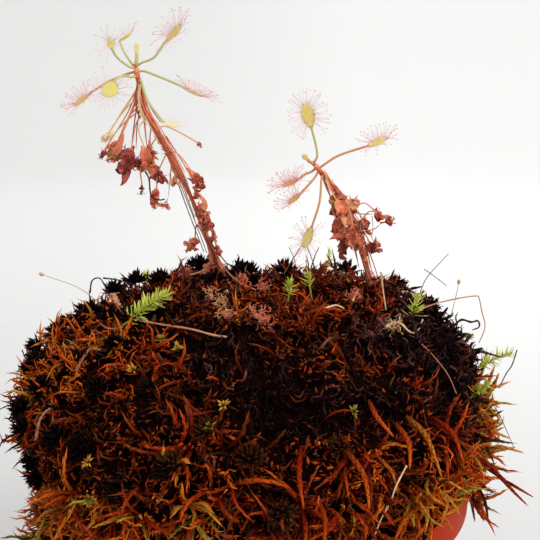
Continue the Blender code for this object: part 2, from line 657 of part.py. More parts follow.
def make_leaf(name, line, spec):
    """Long-stalked spoon leaf with glandular tentacles round its blade, seated on a stem's crown."""
    petiole, tip, half, facing, count, reach, colour = spec
    seat, out = leaf_seat(line, petiole[0])
    tip = Vector(tip)
    joint = Vector(petiole[-1])
    facing = Vector(facing).normalized()
    along = tip - joint
    length = along.length
    stalk = [seat] + smooth_path([seat + out * LEAF_ROOT, *petiole[1:]], 5)
    blade_shares = (0.12, 0.32, 0.56, 0.78, 0.93, 1.0)
    blade = [joint + along * s + facing * 0.12 * length * math.sin(math.pi * s) * -0.5 for s in blade_shares]
    swell = (0.35, 0.68, 0.96, 1.0, 0.7, 0.0)
    widths = [PETIOLE_RADIUS] * len(stalk) + [half * s for s in swell]
    heights = [PETIOLE_RADIUS] * len(stalk) + [BLADE_HALF] * (len(swell) - 1) + [0.0]
    leaf = swept_object(name, stalk + blade, widths, heights, facing, 6, 0.12)
    along.normalize()
    side = along.cross(facing).normalized()
    up = side.cross(along).normalized()
    if up.dot(facing) < 0.0:
        up.negate()
    parts = []
    rim = count * 2 // 3
    for i in range(count):
        on_rim = i < rim
        sweep_turn = math.radians(-148.0 + 296.0 * (i + 0.5) / rim) if on_rim else i * 2.4
        place = 1.0 if on_rim else 0.5
        centre = joint + along * length * 0.62
        out = along * math.cos(sweep_turn) * length * 0.36 + side * math.sin(sweep_turn) * half * 0.86
        root = centre + out * place
        outward = (along * math.cos(sweep_turn) + side * math.sin(sweep_turn)).normalized()
        rise = 0.42 + 0.22 * math.sin(5.0 * i) if on_rim else 1.9
        aim = (outward * (1.0 if on_rim else 0.55) + up * rise).normalized()
        grow = reach * (0.86 + 0.2 * math.sin(3.7 * i + 1.0)) * (1.0 if on_rim else 0.62)
        parts.append(needle(root - outward * 0.25 * place, root + aim * grow, TENTACLE_ROOT, TENTACLE_HEAD))
    combine(leaf, parts, "UNION", "MANIFOLD")
    keep_largest_body(leaf)
    return finish(leaf, colour, 0.35)


def make_sprig(name, seat, lean, length, reach, leaves):
    """Upright leafy moss shoot whose bare foot stands in a hole in the mound."""
    axis = Vector(lean).normalized()
    foot = seat - axis * 7.0
    tip = seat + axis * length
    path = [foot, seat, seat.lerp(tip, 0.5), seat.lerp(tip, 0.85), tip]
    radii = [SPRIG_STEM, SPRIG_STEM, SPRIG_STEM, SPRIG_STEM * 0.8, 0.0]
    sprig = swept_object(name, path, radii, radii, (0.3, 1.0, 0.1), 4)
    side = axis.orthogonal().normalized()
    other = axis.cross(side)
    parts = []
    for i in range(leaves):
        share = 0.16 + 0.8 * i / (leaves - 1)
        turn = i * math.radians(137.5)
        out = side * math.cos(turn) + other * math.sin(turn)
        root = seat + axis * length * share
        size = reach * (1.0 - 0.45 * share)
        track = [root, root + out * size * 0.9 + axis * size * 0.7]
        parts.append(swept_object("leaf", track, [0.62, 0.0], [0.45, 0.0], axis, 3))
    combine(sprig, parts, "UNION", "MANIFOLD")
    keep_largest_body(sprig)
    return finish(sprig, (0.32, 0.5, 0.06), 0.6)


def make_stalk(name, seat, bend, tip, radius, capsule):
    """Thin stalk that stands in the moss and ends in a spore capsule or bare."""
    bend, tip = Vector(bend), Vector(tip)
    rise = (bend - seat).normalized()
    foot = seat - rise * 6.0
    track = smooth_path([foot, seat, bend, tip], 9)
    radii = [radius] * 8 + [radius * 0.7]
    stalk = swept_object(name, track, radii, radii, (0.2, 0.9, 0.1), 4)
    if capsule > radius:
        along = (track[-1] - track[-2]).normalized()
        egg = [tip + along * capsule * s for s in (-1.1, -0.6, 0.3, 1.1, 1.5)]
        sizes = [0.0, capsule * 0.75, capsule, capsule * 0.5, 0.0]
        combine(stalk, [swept_object("capsule", egg, sizes, sizes, (0.2, 0.9, 0.1), 6)], "UNION")
    return finish(stalk, (0.2, 0.09, 0.03), 0.5)


def hole_cutters(seat, axis, radius, clear_radius, clear_from, clear_to):
    """Cutters for the plain hole of a standing stem and the space round what it carries."""
    axis = axis.normalized()
    hole = cylinder("hole", seat - axis * 24.0, seat + axis * clear_to, radius, 10)
    space = cylinder("space", seat + axis * clear_from, seat + axis * clear_to, clear_radius, 10)
    return [hole, space]


def build():
    """Make every piece of the potted sundew."""
    clear_scene()
    rng = random.Random(SEED)
    make_pot()
    make_medium()

    builder, skin = mound_base(rng)
    bmesh.ops.recalc_face_normals(builder, faces=builder.faces[:])
    tree = BVHTree.FromBMesh(builder)
    seats = {name: seat_of(tree, spec[0]) for name, spec in {**SPRIGS, **STALKS}.items()}
    raise_spikes(builder, skin, rng)
    bmesh.ops.triangulate(builder, faces=builder.faces[:])
    mound = object_from(builder, "moss_mound")
    combine(mound, mound_strands(tree, rng) + mound_straws(tree), "UNION", "MANIFOLD")

    cutters = []
    for line in (LEFT_STEM, RIGHT_STEM):
        foot, seat = Vector(line[0]), Vector(line[2])
        axis = seat - foot
        cutters += hole_cutters(seat, axis, STEM_RADIUS + GAP + 0.15, STEM_RADIUS + 1.6, 1.5, 14.0)
    for name, (_, lean, length, reach, _) in SPRIGS.items():
        cutters += hole_cutters(seats[name], Vector(lean), SPRIG_STEM + GAP + 0.05,
                                reach + 0.9, 1.0, length + 5.0)
    for name, (_, bend, tip, radius, _) in STALKS.items():
        axis = Vector(bend) - seats[name]
        cutters += hole_cutters(seats[name], axis, radius + GAP + 0.15, radius + 1.2, 1.0, 9.0)
    combine(mound, cutters, "DIFFERENCE", "MANIFOLD")
    keep_largest_body(mound)
    finish(mound, (0.22, 0.07, 0.025), 0.9)

    make_stem("sundew_left_stem", LEFT_STEM, LEFT_WITHERED)
    make_stem("sundew_right_stem", RIGHT_STEM, RIGHT_WITHERED)
    for name, spec in LEFT_LEAVES.items():
        make_leaf(name, LEFT_STEM, spec)
    for name, spec in RIGHT_LEAVES.items():
        make_leaf(name, RIGHT_STEM, spec)
    for name, (_, lean, length, reach, leaves) in SPRIGS.items():
        make_sprig(name, seats[name], lean, length, reach, leaves)
    for name, (_, bend, tip, radius, capsule) in STALKS.items():
        make_stalk(name, seats[name], bend, tip, radius, capsule)


build()
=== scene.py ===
"""Looks of the potted sundew: bog moss cushion, two sundews, green sprigs and their plastic pot.

Lengths inside the classes are in millimetres and turn into metres when a mesh is made.
The frame is the model's own: origin under the pot, +Z up, -Y towards the viewer.
"""

import json
import logging
import math
import random
from collections.abc import Callable
from dataclasses import dataclass, field
from enum import Enum

import bmesh
import bpy
import numpy as np
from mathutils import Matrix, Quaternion, Vector, noise
from mathutils.bvhtree import BVHTree

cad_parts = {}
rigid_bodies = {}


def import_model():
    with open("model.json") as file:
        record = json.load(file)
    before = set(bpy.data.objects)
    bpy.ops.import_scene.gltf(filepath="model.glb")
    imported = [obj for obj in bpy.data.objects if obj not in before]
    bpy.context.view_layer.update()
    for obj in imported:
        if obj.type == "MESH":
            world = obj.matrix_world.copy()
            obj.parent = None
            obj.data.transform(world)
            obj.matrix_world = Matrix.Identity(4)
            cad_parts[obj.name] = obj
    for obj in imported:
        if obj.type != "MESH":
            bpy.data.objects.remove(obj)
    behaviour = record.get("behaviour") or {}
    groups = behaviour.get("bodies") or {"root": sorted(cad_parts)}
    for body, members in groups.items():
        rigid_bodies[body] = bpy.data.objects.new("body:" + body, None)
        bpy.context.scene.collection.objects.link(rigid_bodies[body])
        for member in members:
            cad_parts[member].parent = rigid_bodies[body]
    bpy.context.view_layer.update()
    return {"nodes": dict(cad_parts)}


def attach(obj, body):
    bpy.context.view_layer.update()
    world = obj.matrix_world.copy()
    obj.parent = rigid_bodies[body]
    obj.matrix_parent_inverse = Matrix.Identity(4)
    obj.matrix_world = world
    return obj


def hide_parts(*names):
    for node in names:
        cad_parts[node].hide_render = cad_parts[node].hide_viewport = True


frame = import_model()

LOG = logging.getLogger("potted_sundew")
MM = 0.001
GOLDEN_TURN = math.pi * (3.0 - math.sqrt(5.0))

Colour = tuple[float, float, float]
Stops = tuple[tuple[float, Colour], ...]


@dataclass
class MeshDraft:
    """Points, faces and shade values gathered in millimetres before they become one mesh."""

    points: list = field(default_factory=list)
    faces: list = field(default_factory=list)
    tints: list = field(default_factory=list)
    alongs: list = field(default_factory=list)

    def add(self, points: np.ndarray, faces: list, tint: float | np.ndarray, along: np.ndarray) -> None:
        """Add one closed body.

        Args:
            points: Its points, one row each.
            faces: Its faces as tuples of row numbers.
            tint: Shade of the whole body, or one value for each point.
            along: Share of the way from root to tip, for each point.
        """
        start = len(self.points)
        self.points.extend(points.tolist())
        self.faces.extend([tuple(k + start for k in face) for face in faces])
        self.tints.extend(np.broadcast_to(tint, len(points)).tolist())
        self.alongs.extend(np.broadcast_to(along, len(points)).tolist())

    def spindle(self, root: np.ndarray, middle: np.ndarray, tip: np.ndarray, width: float, thick: float,
                facing: np.ndarray, along: float) -> None:
        """Add one pointed leaf of six faces.

        Args:
            root: Where it grows from.
            middle: Its widest place.
            tip: Its point.
            width: Half width there.
            thick: Half thickness there.
            facing: Way that its back faces.
            along: Its place on the shoot, from root to tip.
        """
        side = np.cross(tip - root, facing)
        side = side / (np.linalg.norm(side) + 1e-12) * width
        back = facing / (np.linalg.norm(facing) + 1e-12) * thick
        points = np.array([root, middle + side, middle + back * 2.0, middle - side, tip])
        self.add(points, [(0, 1, 2), (0, 2, 3), (0, 3, 1), (4, 2, 1), (4, 3, 2), (4, 1, 3)], 0.0, along)

    def tube(self, path: np.ndarray, widths: np.ndarray, heights: np.ndarray, facing: tuple, sides: int = 8,
             cup: float = 0.0, tint: float = 0.0, fade: float = 1.0) -> "MeshDraft":
        """Sweep a closed tube and add it.

        Args:
            path: Centre of each ring.
            widths: Half width of each ring.
            heights: Half height of each ring.
            facing: Direction that the height turns to.
            sides: Points in a ring.
            cup: How far the edges rise, as a share of the half width.
            tint: Its shade.
            fade: Scale of its values from root to tip.

        Returns:
            This draft.
        """
        points, faces, along = sweep(path, widths, heights, facing, sides, cup)
        self.add(points, faces, tint, along * fade)
        return self

    def to_object(self, name: str, finish: bpy.types.Material | None = None) -> bpy.types.Object:
        """Make the object.

        Args:
            name: Piece name.
            finish: Its material, or none for a shoot that is only repeated.

        Returns:
            The object, at the origin, with its shade values as point attributes.
        """
        mesh = bpy.data.meshes.new(name)
        mesh.from_pydata((np.array(self.points) * MM).tolist(), [], self.faces)
        for label, values in (("tint", self.tints), ("along", self.alongs)):
            layer = mesh.attributes.new(label, "FLOAT", "POINT")
            layer.data.foreach_set("value", values)
        mesh.shade_smooth()
        if finish is not None:
            mesh.materials.append(finish)
        piece = bpy.data.objects.new(name, mesh)
        bpy.context.scene.collection.objects.link(piece)
        return piece


def smooth_path(points: list, count: int) -> np.ndarray:
    """Points spaced along a smooth curve.

    Args:
        points: The curve's own points.
        count: How many to return.

    Returns:
        One row for each point.
    """
    nodes = np.array([list(p) for p in points], dtype=float)
    nodes = np.vstack([2 * nodes[0] - nodes[1], nodes, 2 * nodes[-1] - nodes[-2]])
    spans = len(nodes) - 3
    place = np.linspace(0.0, spans, count)
    span = np.minimum(place.astype(int), spans - 1)
    t = (place - span)[:, None]
    a, b, c, d = (nodes[span + k] for k in range(4))
    return 0.5 * (b * 2 + (c - a) * t + (a * 2 - b * 5 + c * 4 - d) * t ** 2
                  + (b * 3 - a - c * 3 + d) * t ** 3)


def bands(rings: int, sides: int, start: int = 0) -> list[tuple]:
    """Faces that join each ring of points to the next.

    Args:
        rings: How many rings.
        sides: Points in a ring.
        start: Row number of the first point.

    Returns:
        The faces as tuples of row numbers.
    """
    faces = []
    for i in range(rings - 1):
        for k in range(sides):
            a, b = start + i * sides + k, start + i * sides + (k + 1) % sides
            faces.append((a, a + sides, b + sides, b))
    return faces


def unit(way: np.ndarray) -> np.ndarray:
    """The same direction with a length of 1."""
    return way / np.linalg.norm(way)


def share_of_one(value: float) -> float:
    """Value kept between 0 and 1."""
    return min(1.0, max(0.0, value))


def sweep(path: np.ndarray, widths: np.ndarray, heights: np.ndarray, facing: tuple, sides: int = 8,
          cup: float = 0.0, hold_from: int | None = None) -> tuple[np.ndarray, list, np.ndarray]:
    """Closed oval tube along a path.

    Args:
        path: Centre of each ring.
        widths: Half width of each ring; a last width of 0 ends it in a point.
        heights: Half height of each ring.
        facing: Direction that the height turns to.
        sides: Points in a ring.
        cup: How far the edges rise, as a share of the half width.
        hold_from: Ring from which the height turns back to the facing at every ring.

    Returns:
        Points, faces, and the share of the way along for each point.
    """
    tangent = np.gradient(path, axis=0)
    tangent /= np.linalg.norm(tangent, axis=1)[:, None] + 1e-12
    normal = np.array(facing, dtype=float)
    turn = np.arange(sides) * math.tau / sides
    across, lift = np.cos(turn), np.sin(turn)
    rows, share = [], []
    last = len(path) - 1
    for i in range(last + 1):
        if hold_from is not None and i >= hold_from:
            normal = np.array(facing, dtype=float)
        normal = normal - tangent[i] * normal.dot(tangent[i])
        normal /= np.linalg.norm(normal) + 1e-12
        side = np.cross(tangent[i], normal)
        rise = heights[i] * lift + cup * widths[i] * across ** 2
        rows.append(path[i] + np.outer(widths[i] * across, side) + np.outer(rise, normal))
        share += [i / last] * sides
    pointed = bool(widths[last] <= 1e-9)
    faces = bands(last + (not pointed), sides)
    if pointed:
        rows[-1] = path[-1][None, :]
        share = share[:last * sides + 1]
        foot = (last - 1) * sides
        faces += [(foot + k, last * sides, foot + (k + 1) % sides) for k in range(sides)]
    faces.append(tuple(range(sides)))
    if not pointed:
        faces.append(tuple(last * sides + k for k in reversed(range(sides))))
    return np.vstack(rows), faces, np.array(share)


def turn_towards(direction: Vector, roll: float) -> tuple[float, float, float]:
    """Euler angles that point +Z along a direction, rolled about it."""
    return tuple((direction.to_track_quat("Z", "Y") @ Quaternion((0.0, 0.0, 1.0), roll)).to_euler())


def random_unit(rng: random.Random) -> Vector:
    """Direction drawn evenly over the sphere."""
    z = rng.uniform(-1.0, 1.0)
    turn = rng.uniform(0.0, math.tau)
    flat = math.sqrt(1.0 - z * z)
    return Vector((flat * math.cos(turn), flat * math.sin(turn), z))


def feed(tree: bpy.types.NodeTree, node: bpy.types.Node, inputs: dict) -> None:
    """Set or link a node's inputs.

    Args:
        tree: Tree that the node stands in.
        node: The node.
        inputs: Value or source socket of each input, by its name or number.
    """
    for label, value in inputs.items():
        if isinstance(value, bpy.types.NodeSocket):
            tree.links.new(value, node.inputs[label])
        else:
            node.inputs[label].default_value = value


def wired(tree: bpy.types.NodeTree, kind: str, inputs: dict | None = None,
          **settings: object) -> bpy.types.Node:
    """Add one node to a tree.

    Args:
        tree: Tree that gets the node.
        kind: Type of the node.
        inputs: Value or source socket of each input.
        settings: Values of the node's own properties.

    Returns:
        The node.
    """
    node = tree.nodes.new(kind)
    for label, value in settings.items():
        setattr(node, label, value)
    feed(tree, node, inputs or {})
    return node


def maths(tree: bpy.types.NodeTree, operation: str, *terms: object,
          clamp: bool = False) -> bpy.types.NodeSocket:
    """Add a math node on values or sockets and return its result."""
    node = wired(tree, "ShaderNodeMath", dict(enumerate(terms)), operation=operation, use_clamp=clamp)
    return node.outputs[0]


def speckled(tree: bpy.types.NodeTree, scale: float, detail: float) -> bpy.types.NodeSocket:
    """Add noise over the piece's own coordinates and return its strength."""
    place = wired(tree, "ShaderNodeTexCoord").outputs["Object"]
    inputs = {"Scale": scale, "Detail": detail, "Vector": place}
    return wired(tree, "ShaderNodeTexNoise", inputs).outputs["Fac"]


def ramped(tree: bpy.types.NodeTree, stops: Stops, factor: bpy.types.NodeSocket) -> bpy.types.NodeSocket:
    """Add a colour ramp.

    Args:
        tree: Tree that gets the ramp.
        stops: Place and colour of each stop.
        factor: What runs over the ramp.

    Returns:
        Its colour.
    """
    ramp = wired(tree, "ShaderNodeValToRGB", {"Fac": factor})
    elements = ramp.color_ramp.elements
    while len(elements) < len(stops):
        elements.new(0.5)
    for element, (at, colour) in zip(elements, stops):
        element.position = at
        element.color = (*colour, 1.0)
    return ramp.outputs["Color"]


def blank_material(name: str) -> bpy.types.Material:
    """New material with nodes."""
    finish = bpy.data.materials.new(name)
    finish.use_nodes = True
    return finish


@dataclass(frozen=True)
class Finish:
    """Procedural finish whose colour runs over the piece's own tint and along values, with painted shade
    darkening each shoot towards its root.
    """

    name: str
    stops: Stops
    tip: Colour
    tip_share: float = 0.3
    roughness: float = 0.55
    grain: float = 900.0
    grain_depth: float = 0.3
    mottle: float = 0.25
    specular: float = 0.35
    # Colour kept at a shoot's root; below 1 it is painted shade that darkens each shoot towards its root.
    root: float = 1.0

    def build(self) -> bpy.types.Material:
        """Make the material.

        Returns:
            A Principled material with colour, mottling, painted shade towards the roots and bump from nodes.
        """
        finish = blank_material(self.name)
        tree = finish.node_tree
        tint, along = (wired(tree, "ShaderNodeAttribute", attribute_name=label).outputs["Fac"]
                       for label in ("tint", "along"))
        speckle = speckled(tree, self.grain, 4.0)
        centred = maths(tree, "SUBTRACT", tint, self.mottle / 2)
        shift = maths(tree, "MULTIPLY_ADD", speckle, self.mottle, centred)
        reach = maths(tree, "MULTIPLY", maths(tree, "POWER", along, 1.6), self.tip_share)
        held = maths(tree, "MULTIPLY", reach, maths(tree, "MULTIPLY", tint, 2.0, clamp=True))
        blend = wired(tree, "ShaderNodeMix", {"Factor": held, "A": ramped(tree, self.stops, shift),
                                              "B": (*self.tip, 1.0)}, data_type="RGBA")
        # Painted shade: the colour is multiplied down towards each shoot's root, to the root value at along
        # 0.
        depth = maths(tree, "MULTIPLY_ADD", along, 1.0 - self.root, self.root)
        painted_root_shade = wired(tree, "ShaderNodeMix", {"Factor": 1.0, "A": blend.outputs["Result"], "B": depth},
                     data_type="RGBA", blend_type="MULTIPLY")
        bump = wired(tree, "ShaderNodeBump", {
            "Strength": self.grain_depth, "Distance": 0.0003, "Height": speckle})
        feed(tree, tree.nodes["Principled BSDF"], {
            "Roughness": self.roughness, "Specular IOR Level": self.specular,
            "Base Color": painted_root_shade.outputs["Result"], "Normal": bump.outputs["Normal"]})
        return finish


MOSS_STOPS: Stops = (
    (0.0, (0.003, 0.001, 0.0018)),
    (0.16, (0.022, 0.0035, 0.0035)),
    (0.34, (0.2, 0.006, 0.003)),
    (0.5, (0.66, 0.028, 0.003)),
    (0.64, (0.84, 0.11, 0.005)),
    (0.78, (0.84, 0.33, 0.028)),
    (0.9, (0.5, 0.42, 0.06)),
    (1.0, (0.07, 0.15, 0.02)),
)


class Palette(Enum):
    """Finishes of the plant, its moss and its pot."""

    MOSS = Finish("bog_moss_fronds", MOSS_STOPS, (0.95, 0.32, 0.04), 0.3, 0.5, 1400.0, 0.25, 0.14,
                  specular=0.035, root=0.12)
    # Near-black inner moss: partly the real dark moss inside the cushion, partly painted shade deep between
    # the shoots and in the pot.
    CORE = Finish("bog_moss_depths", ((0.0, (0.001, 0.0005, 0.0005)), (0.4, (0.005, 0.0012, 0.001)),
                                      (0.75, (0.06, 0.007, 0.003))),
                  (0.02, 0.01, 0.006), 0.0, 0.9, 650.0, 1.0, 1.1, specular=0.02)
    DRIED = Finish("dried_leaves", ((0.0, (0.006, 0.002, 0.003)), (0.3, (0.028, 0.007, 0.009)),
                                    (0.6, (0.12, 0.03, 0.028)), (0.82, (0.42, 0.17, 0.11)),
                                    (1.0, (0.72, 0.5, 0.32))),
                   (0.22, 0.09, 0.08), 0.2, 0.6, 1200.0, 0.3, 0.3, specular=0.03, root=0.3)
    STRAW = Finish("dry_straw", ((0.0, (0.02, 0.012, 0.012)), (0.3, (0.2, 0.05, 0.03)),
                                 (0.6, (0.5, 0.2, 0.1)), (1.0, (0.8, 0.58, 0.34))),
                   (0.7, 0.5, 0.32), 0.2, 0.6, 700.0, 0.3, 0.4, specular=0.2)
    GREEN = Finish("sprig_leaves", ((0.0, (0.2, 0.3, 0.02)), (0.4, (0.64, 0.76, 0.06)),
                                  (0.75, (0.84, 0.88, 0.12)), (1.0, (0.9, 0.76, 0.26))),
                   (0.9, 0.95, 0.3), 0.4, 0.5, 900.0, 0.2, 0.15, specular=0.2, root=0.65)
    STALK = Finish("live_stalk", ((0.0, (0.5, 0.08, 0.03)), (0.35, (0.68, 0.26, 0.1)),
                                  (0.7, (0.56, 0.56, 0.22)), (1.0, (0.7, 0.66, 0.26))),
                   (0.62, 0.58, 0.24), 0.3, 0.4, 1600.0, 0.15, 0.1, specular=0.3)
    BLADE = Finish("live_blade", ((0.0, (0.8, 0.24, 0.16)), (0.3, (0.84, 0.48, 0.14)),
                                  (0.6, (0.86, 0.8, 0.2)), (1.0, (0.9, 0.8, 0.5))),
                   (0.84, 0.74, 0.26), 0.15, 0.4, 1500.0, 0.3, 0.5, specular=0.3)
    TENTACLE = Finish("tentacles", ((0.0, (1.0, 0.8, 0.74)), (0.5, (0.98, 0.52, 0.5)),
                                    (1.0, (0.96, 0.14, 0.22))),
                      (0.8, 0.26, 0.34), 0.5, 0.35, 900.0, 0.0, 0.1, specular=0.3)
    WITHERED = Finish("withered_leaves", ((0.0, (0.09, 0.018, 0.018)), (0.25, (0.36, 0.055, 0.045)),
                                          (0.5, (0.78, 0.18, 0.09)), (0.66, (0.86, 0.36, 0.18)),
                                          (0.8, (0.78, 0.44, 0.16)), (1.0, (0.92, 0.78, 0.5))),
                      (0.55, 0.12, 0.1), 0.25, 0.5, 1500.0, 0.4, 0.4, specular=0.25)

    def build(self) -> bpy.types.Material:
        """Make this finish's material once and reuse it."""
        return bpy.data.materials.get(self.value.name) or self.value.build()


@dataclass
class Growth:
    """Where each copy of a shoot stands, and its turn, size, tint and kind."""

    places: list = field(default_factory=list)
    turns: list = field(default_factory=list)
    sizes: list = field(default_factory=list)
    tints: list = field(default_factory=list)
    kinds: list = field(default_factory=list)

    def plant(self, place: Vector, direction: Vector, roll: float, size: float, tint: float,
              kind: int) -> None:
        """Add one shoot.

        Args:
            place: Root point in millimetres.
            direction: Way the shoot points.
            roll: Turn about that way.
            size: Scale of the shoot.
            tint: Its shade.
            kind: Which of the shoots it copies.
        """
        self.places.append(tuple(place))
        self.turns.append(turn_towards(direction, roll))
        self.sizes.append(size)
        self.tints.append(tint)
        self.kinds.append(kind)


def scatter_tree() -> bpy.types.NodeTree:
    """Geometry Nodes tree that sets a shoot on each point and makes the result real.

    Returns:
        The tree, with inputs Shoots and Finish.
    """
    tree = bpy.data.node_groups.get("grow_shoots")
    if tree is not None:
        return tree
    tree = bpy.data.node_groups.new("grow_shoots", "GeometryNodeTree")
    for label in ("Geometry", "Collection", "Material"):
        name = {"Collection": "Shoots", "Material": "Finish"}.get(label, label)
        tree.interface.new_socket(name, in_out="INPUT", socket_type="NodeSocket" + label)
    tree.interface.new_socket("Geometry", in_out="OUTPUT", socket_type="NodeSocketGeometry")
    entry = wired(tree, "NodeGroupInput").outputs
    shoots = wired(tree, "GeometryNodeCollectionInfo", {
        "Separate Children": True, "Reset Children": True, "Collection": entry["Shoots"]})
    turn, size, kind = (
        wired(tree, "GeometryNodeInputNamedAttribute", {"Name": label}, data_type=form).outputs["Attribute"]
        for label, form in (("turn", "FLOAT_VECTOR"), ("size", "FLOAT"), ("kind", "INT")))
    stand = wired(tree, "GeometryNodeInstanceOnPoints", {
        "Points": entry["Geometry"], "Instance": shoots.outputs["Instances"], "Pick Instance": True,
        "Instance Index": kind, "Rotation": turn, "Scale": size})
    real = wired(tree, "GeometryNodeRealizeInstances", {"Geometry": stand.outputs["Instances"]})
    coat = wired(tree, "GeometryNodeSetMaterial", {
        "Geometry": real.outputs["Geometry"], "Material": entry["Finish"]})
    wired(tree, "NodeGroupOutput", {"Geometry": coat.outputs["Geometry"]})
    return tree


def grow(name: str, growth: Growth, shoots: list, finish: Palette) -> bpy.types.Object:
    """Set a shoot on every place and turn the result into one plain mesh.

    Args:
        name: Piece name.
        growth: Places, turns, sizes, tints and kinds.
        shoots: Drafts of the shoots, in the order of their kinds.
        finish: Finish of the piece.

    Returns:
        The finished piece at the origin.
    """
    group = bpy.data.collections.new(name + "_shoots")
    for i, shoot in enumerate(shoots):
        copy = shoot.to_object(f"{name}_shoot_{i:02d}")
        bpy.context.scene.collection.objects.unlink(copy)
        copy.data.attributes.remove(copy.data.attributes["tint"])
        group.objects.link(copy)
    mesh = bpy.data.meshes.new(name)
    mesh.from_pydata((np.array(growth.places) * MM).tolist(), [], [])
    layers = (("turn", "FLOAT_VECTOR", "vector", growth.turns), ("size", "FLOAT", "value", growth.sizes),
              ("tint", "FLOAT", "value", growth.tints), ("kind", "INT", "value", growth.kinds))
    for label, kind, slot, values in layers:
        layer = mesh.attributes.new(label, kind, "POINT")
        layer.data.foreach_set(slot, np.array(values).ravel())
    piece = bpy.data.objects.new(name, mesh)
    bpy.context.scene.collection.objects.link(piece)
    tree = scatter_tree()
    step = piece.modifiers.new("grow", "NODES")
    step.node_group = tree
    inputs = {item.name: item.identifier for item in tree.interface.items_tree if item.in_out == "INPUT"}
    step[inputs["Shoots"]] = group
    step[inputs["Finish"]] = finish.build()
    view = bpy.context.evaluated_depsgraph_get()
    made = bpy.data.meshes.new_from_object(piece.evaluated_get(view))
    piece.modifiers.remove(step)
    piece.data = made
    for spare in ("turn", "size", "kind"):
        if spare in made.attributes:
            made.attributes.remove(made.attributes[spare])
    made.shade_smooth()
    for copy in list(group.objects):
        bpy.data.objects.remove(copy, do_unlink=True)
    bpy.data.collections.remove(group)
    return piece


@dataclass(frozen=True)
class Sight:
    """The photograph's camera: place, pitch and field of view."""

    target: tuple = (1.6, 0.0, 166.0)
    distance: float = 301.0
    pitch_deg: float = 14.0
    field_deg: float = 32.0
    frame_px: int = 540

    @property
    def pitch(self) -> float:
        """Pitch below the horizon in radians."""
        return math.radians(self.pitch_deg)

    @property
    def eye(self) -> Vector:
        """Camera place in millimetres."""
        back = Vector((0.0, -math.cos(self.pitch), math.sin(self.pitch)))
        return Vector(self.target) + back * self.distance

    def ray(self, u: float, v: float) -> Vector:
        """Direction through a pixel of the photograph."""
        focal = self.frame_px / 2 / math.tan(math.radians(self.field_deg) / 2)
        right = (u - self.frame_px / 2) / focal
        rise = (self.frame_px / 2 - v) / focal
        ahead = Vector((0.0, math.cos(self.pitch), -math.sin(self.pitch)))
        up = Vector((0.0, math.sin(self.pitch), math.cos(self.pitch)))
        return (ahead + up * rise + Vector((right, 0.0, 0.0))).normalized()

    def at(self, u: float, v: float, y: float) -> Vector:
        """Point behind a pixel of the photograph at a given depth y."""
        way = self.ray(u, v)
        return self.eye + way * ((y - self.eye.y) / way.y)

    def pixel(self, point: Vector) -> tuple[float, float]:
        """Pixel of the photograph that shows a point."""
        focal = self.frame_px / 2 / math.tan(math.radians(self.field_deg) / 2)
        away = point - self.eye
        depth = away.y * math.cos(self.pitch) - away.z * math.sin(self.pitch)
        rise = away.y * math.sin(self.pitch) + away.z * math.cos(self.pitch)
        return self.frame_px / 2 + focal * away.x / depth, self.frame_px / 2 - focal * rise / depth

    def build(self) -> None:
        """Make the camera and give it to the scene."""
        lens = bpy.data.cameras.new("camera")
        lens.sensor_width = 36.0
        lens.angle = math.radians(self.field_deg)
        lens.clip_start = 0.01
        lens.clip_end = 50.0
        camera = bpy.data.objects.new("camera", lens)
        camera.location = self.eye * MM
        camera.rotation_euler = (math.pi / 2 - self.pitch, 0.0, 0.0)
        bpy.context.scene.collection.objects.link(camera)
        bpy.context.scene.camera = camera


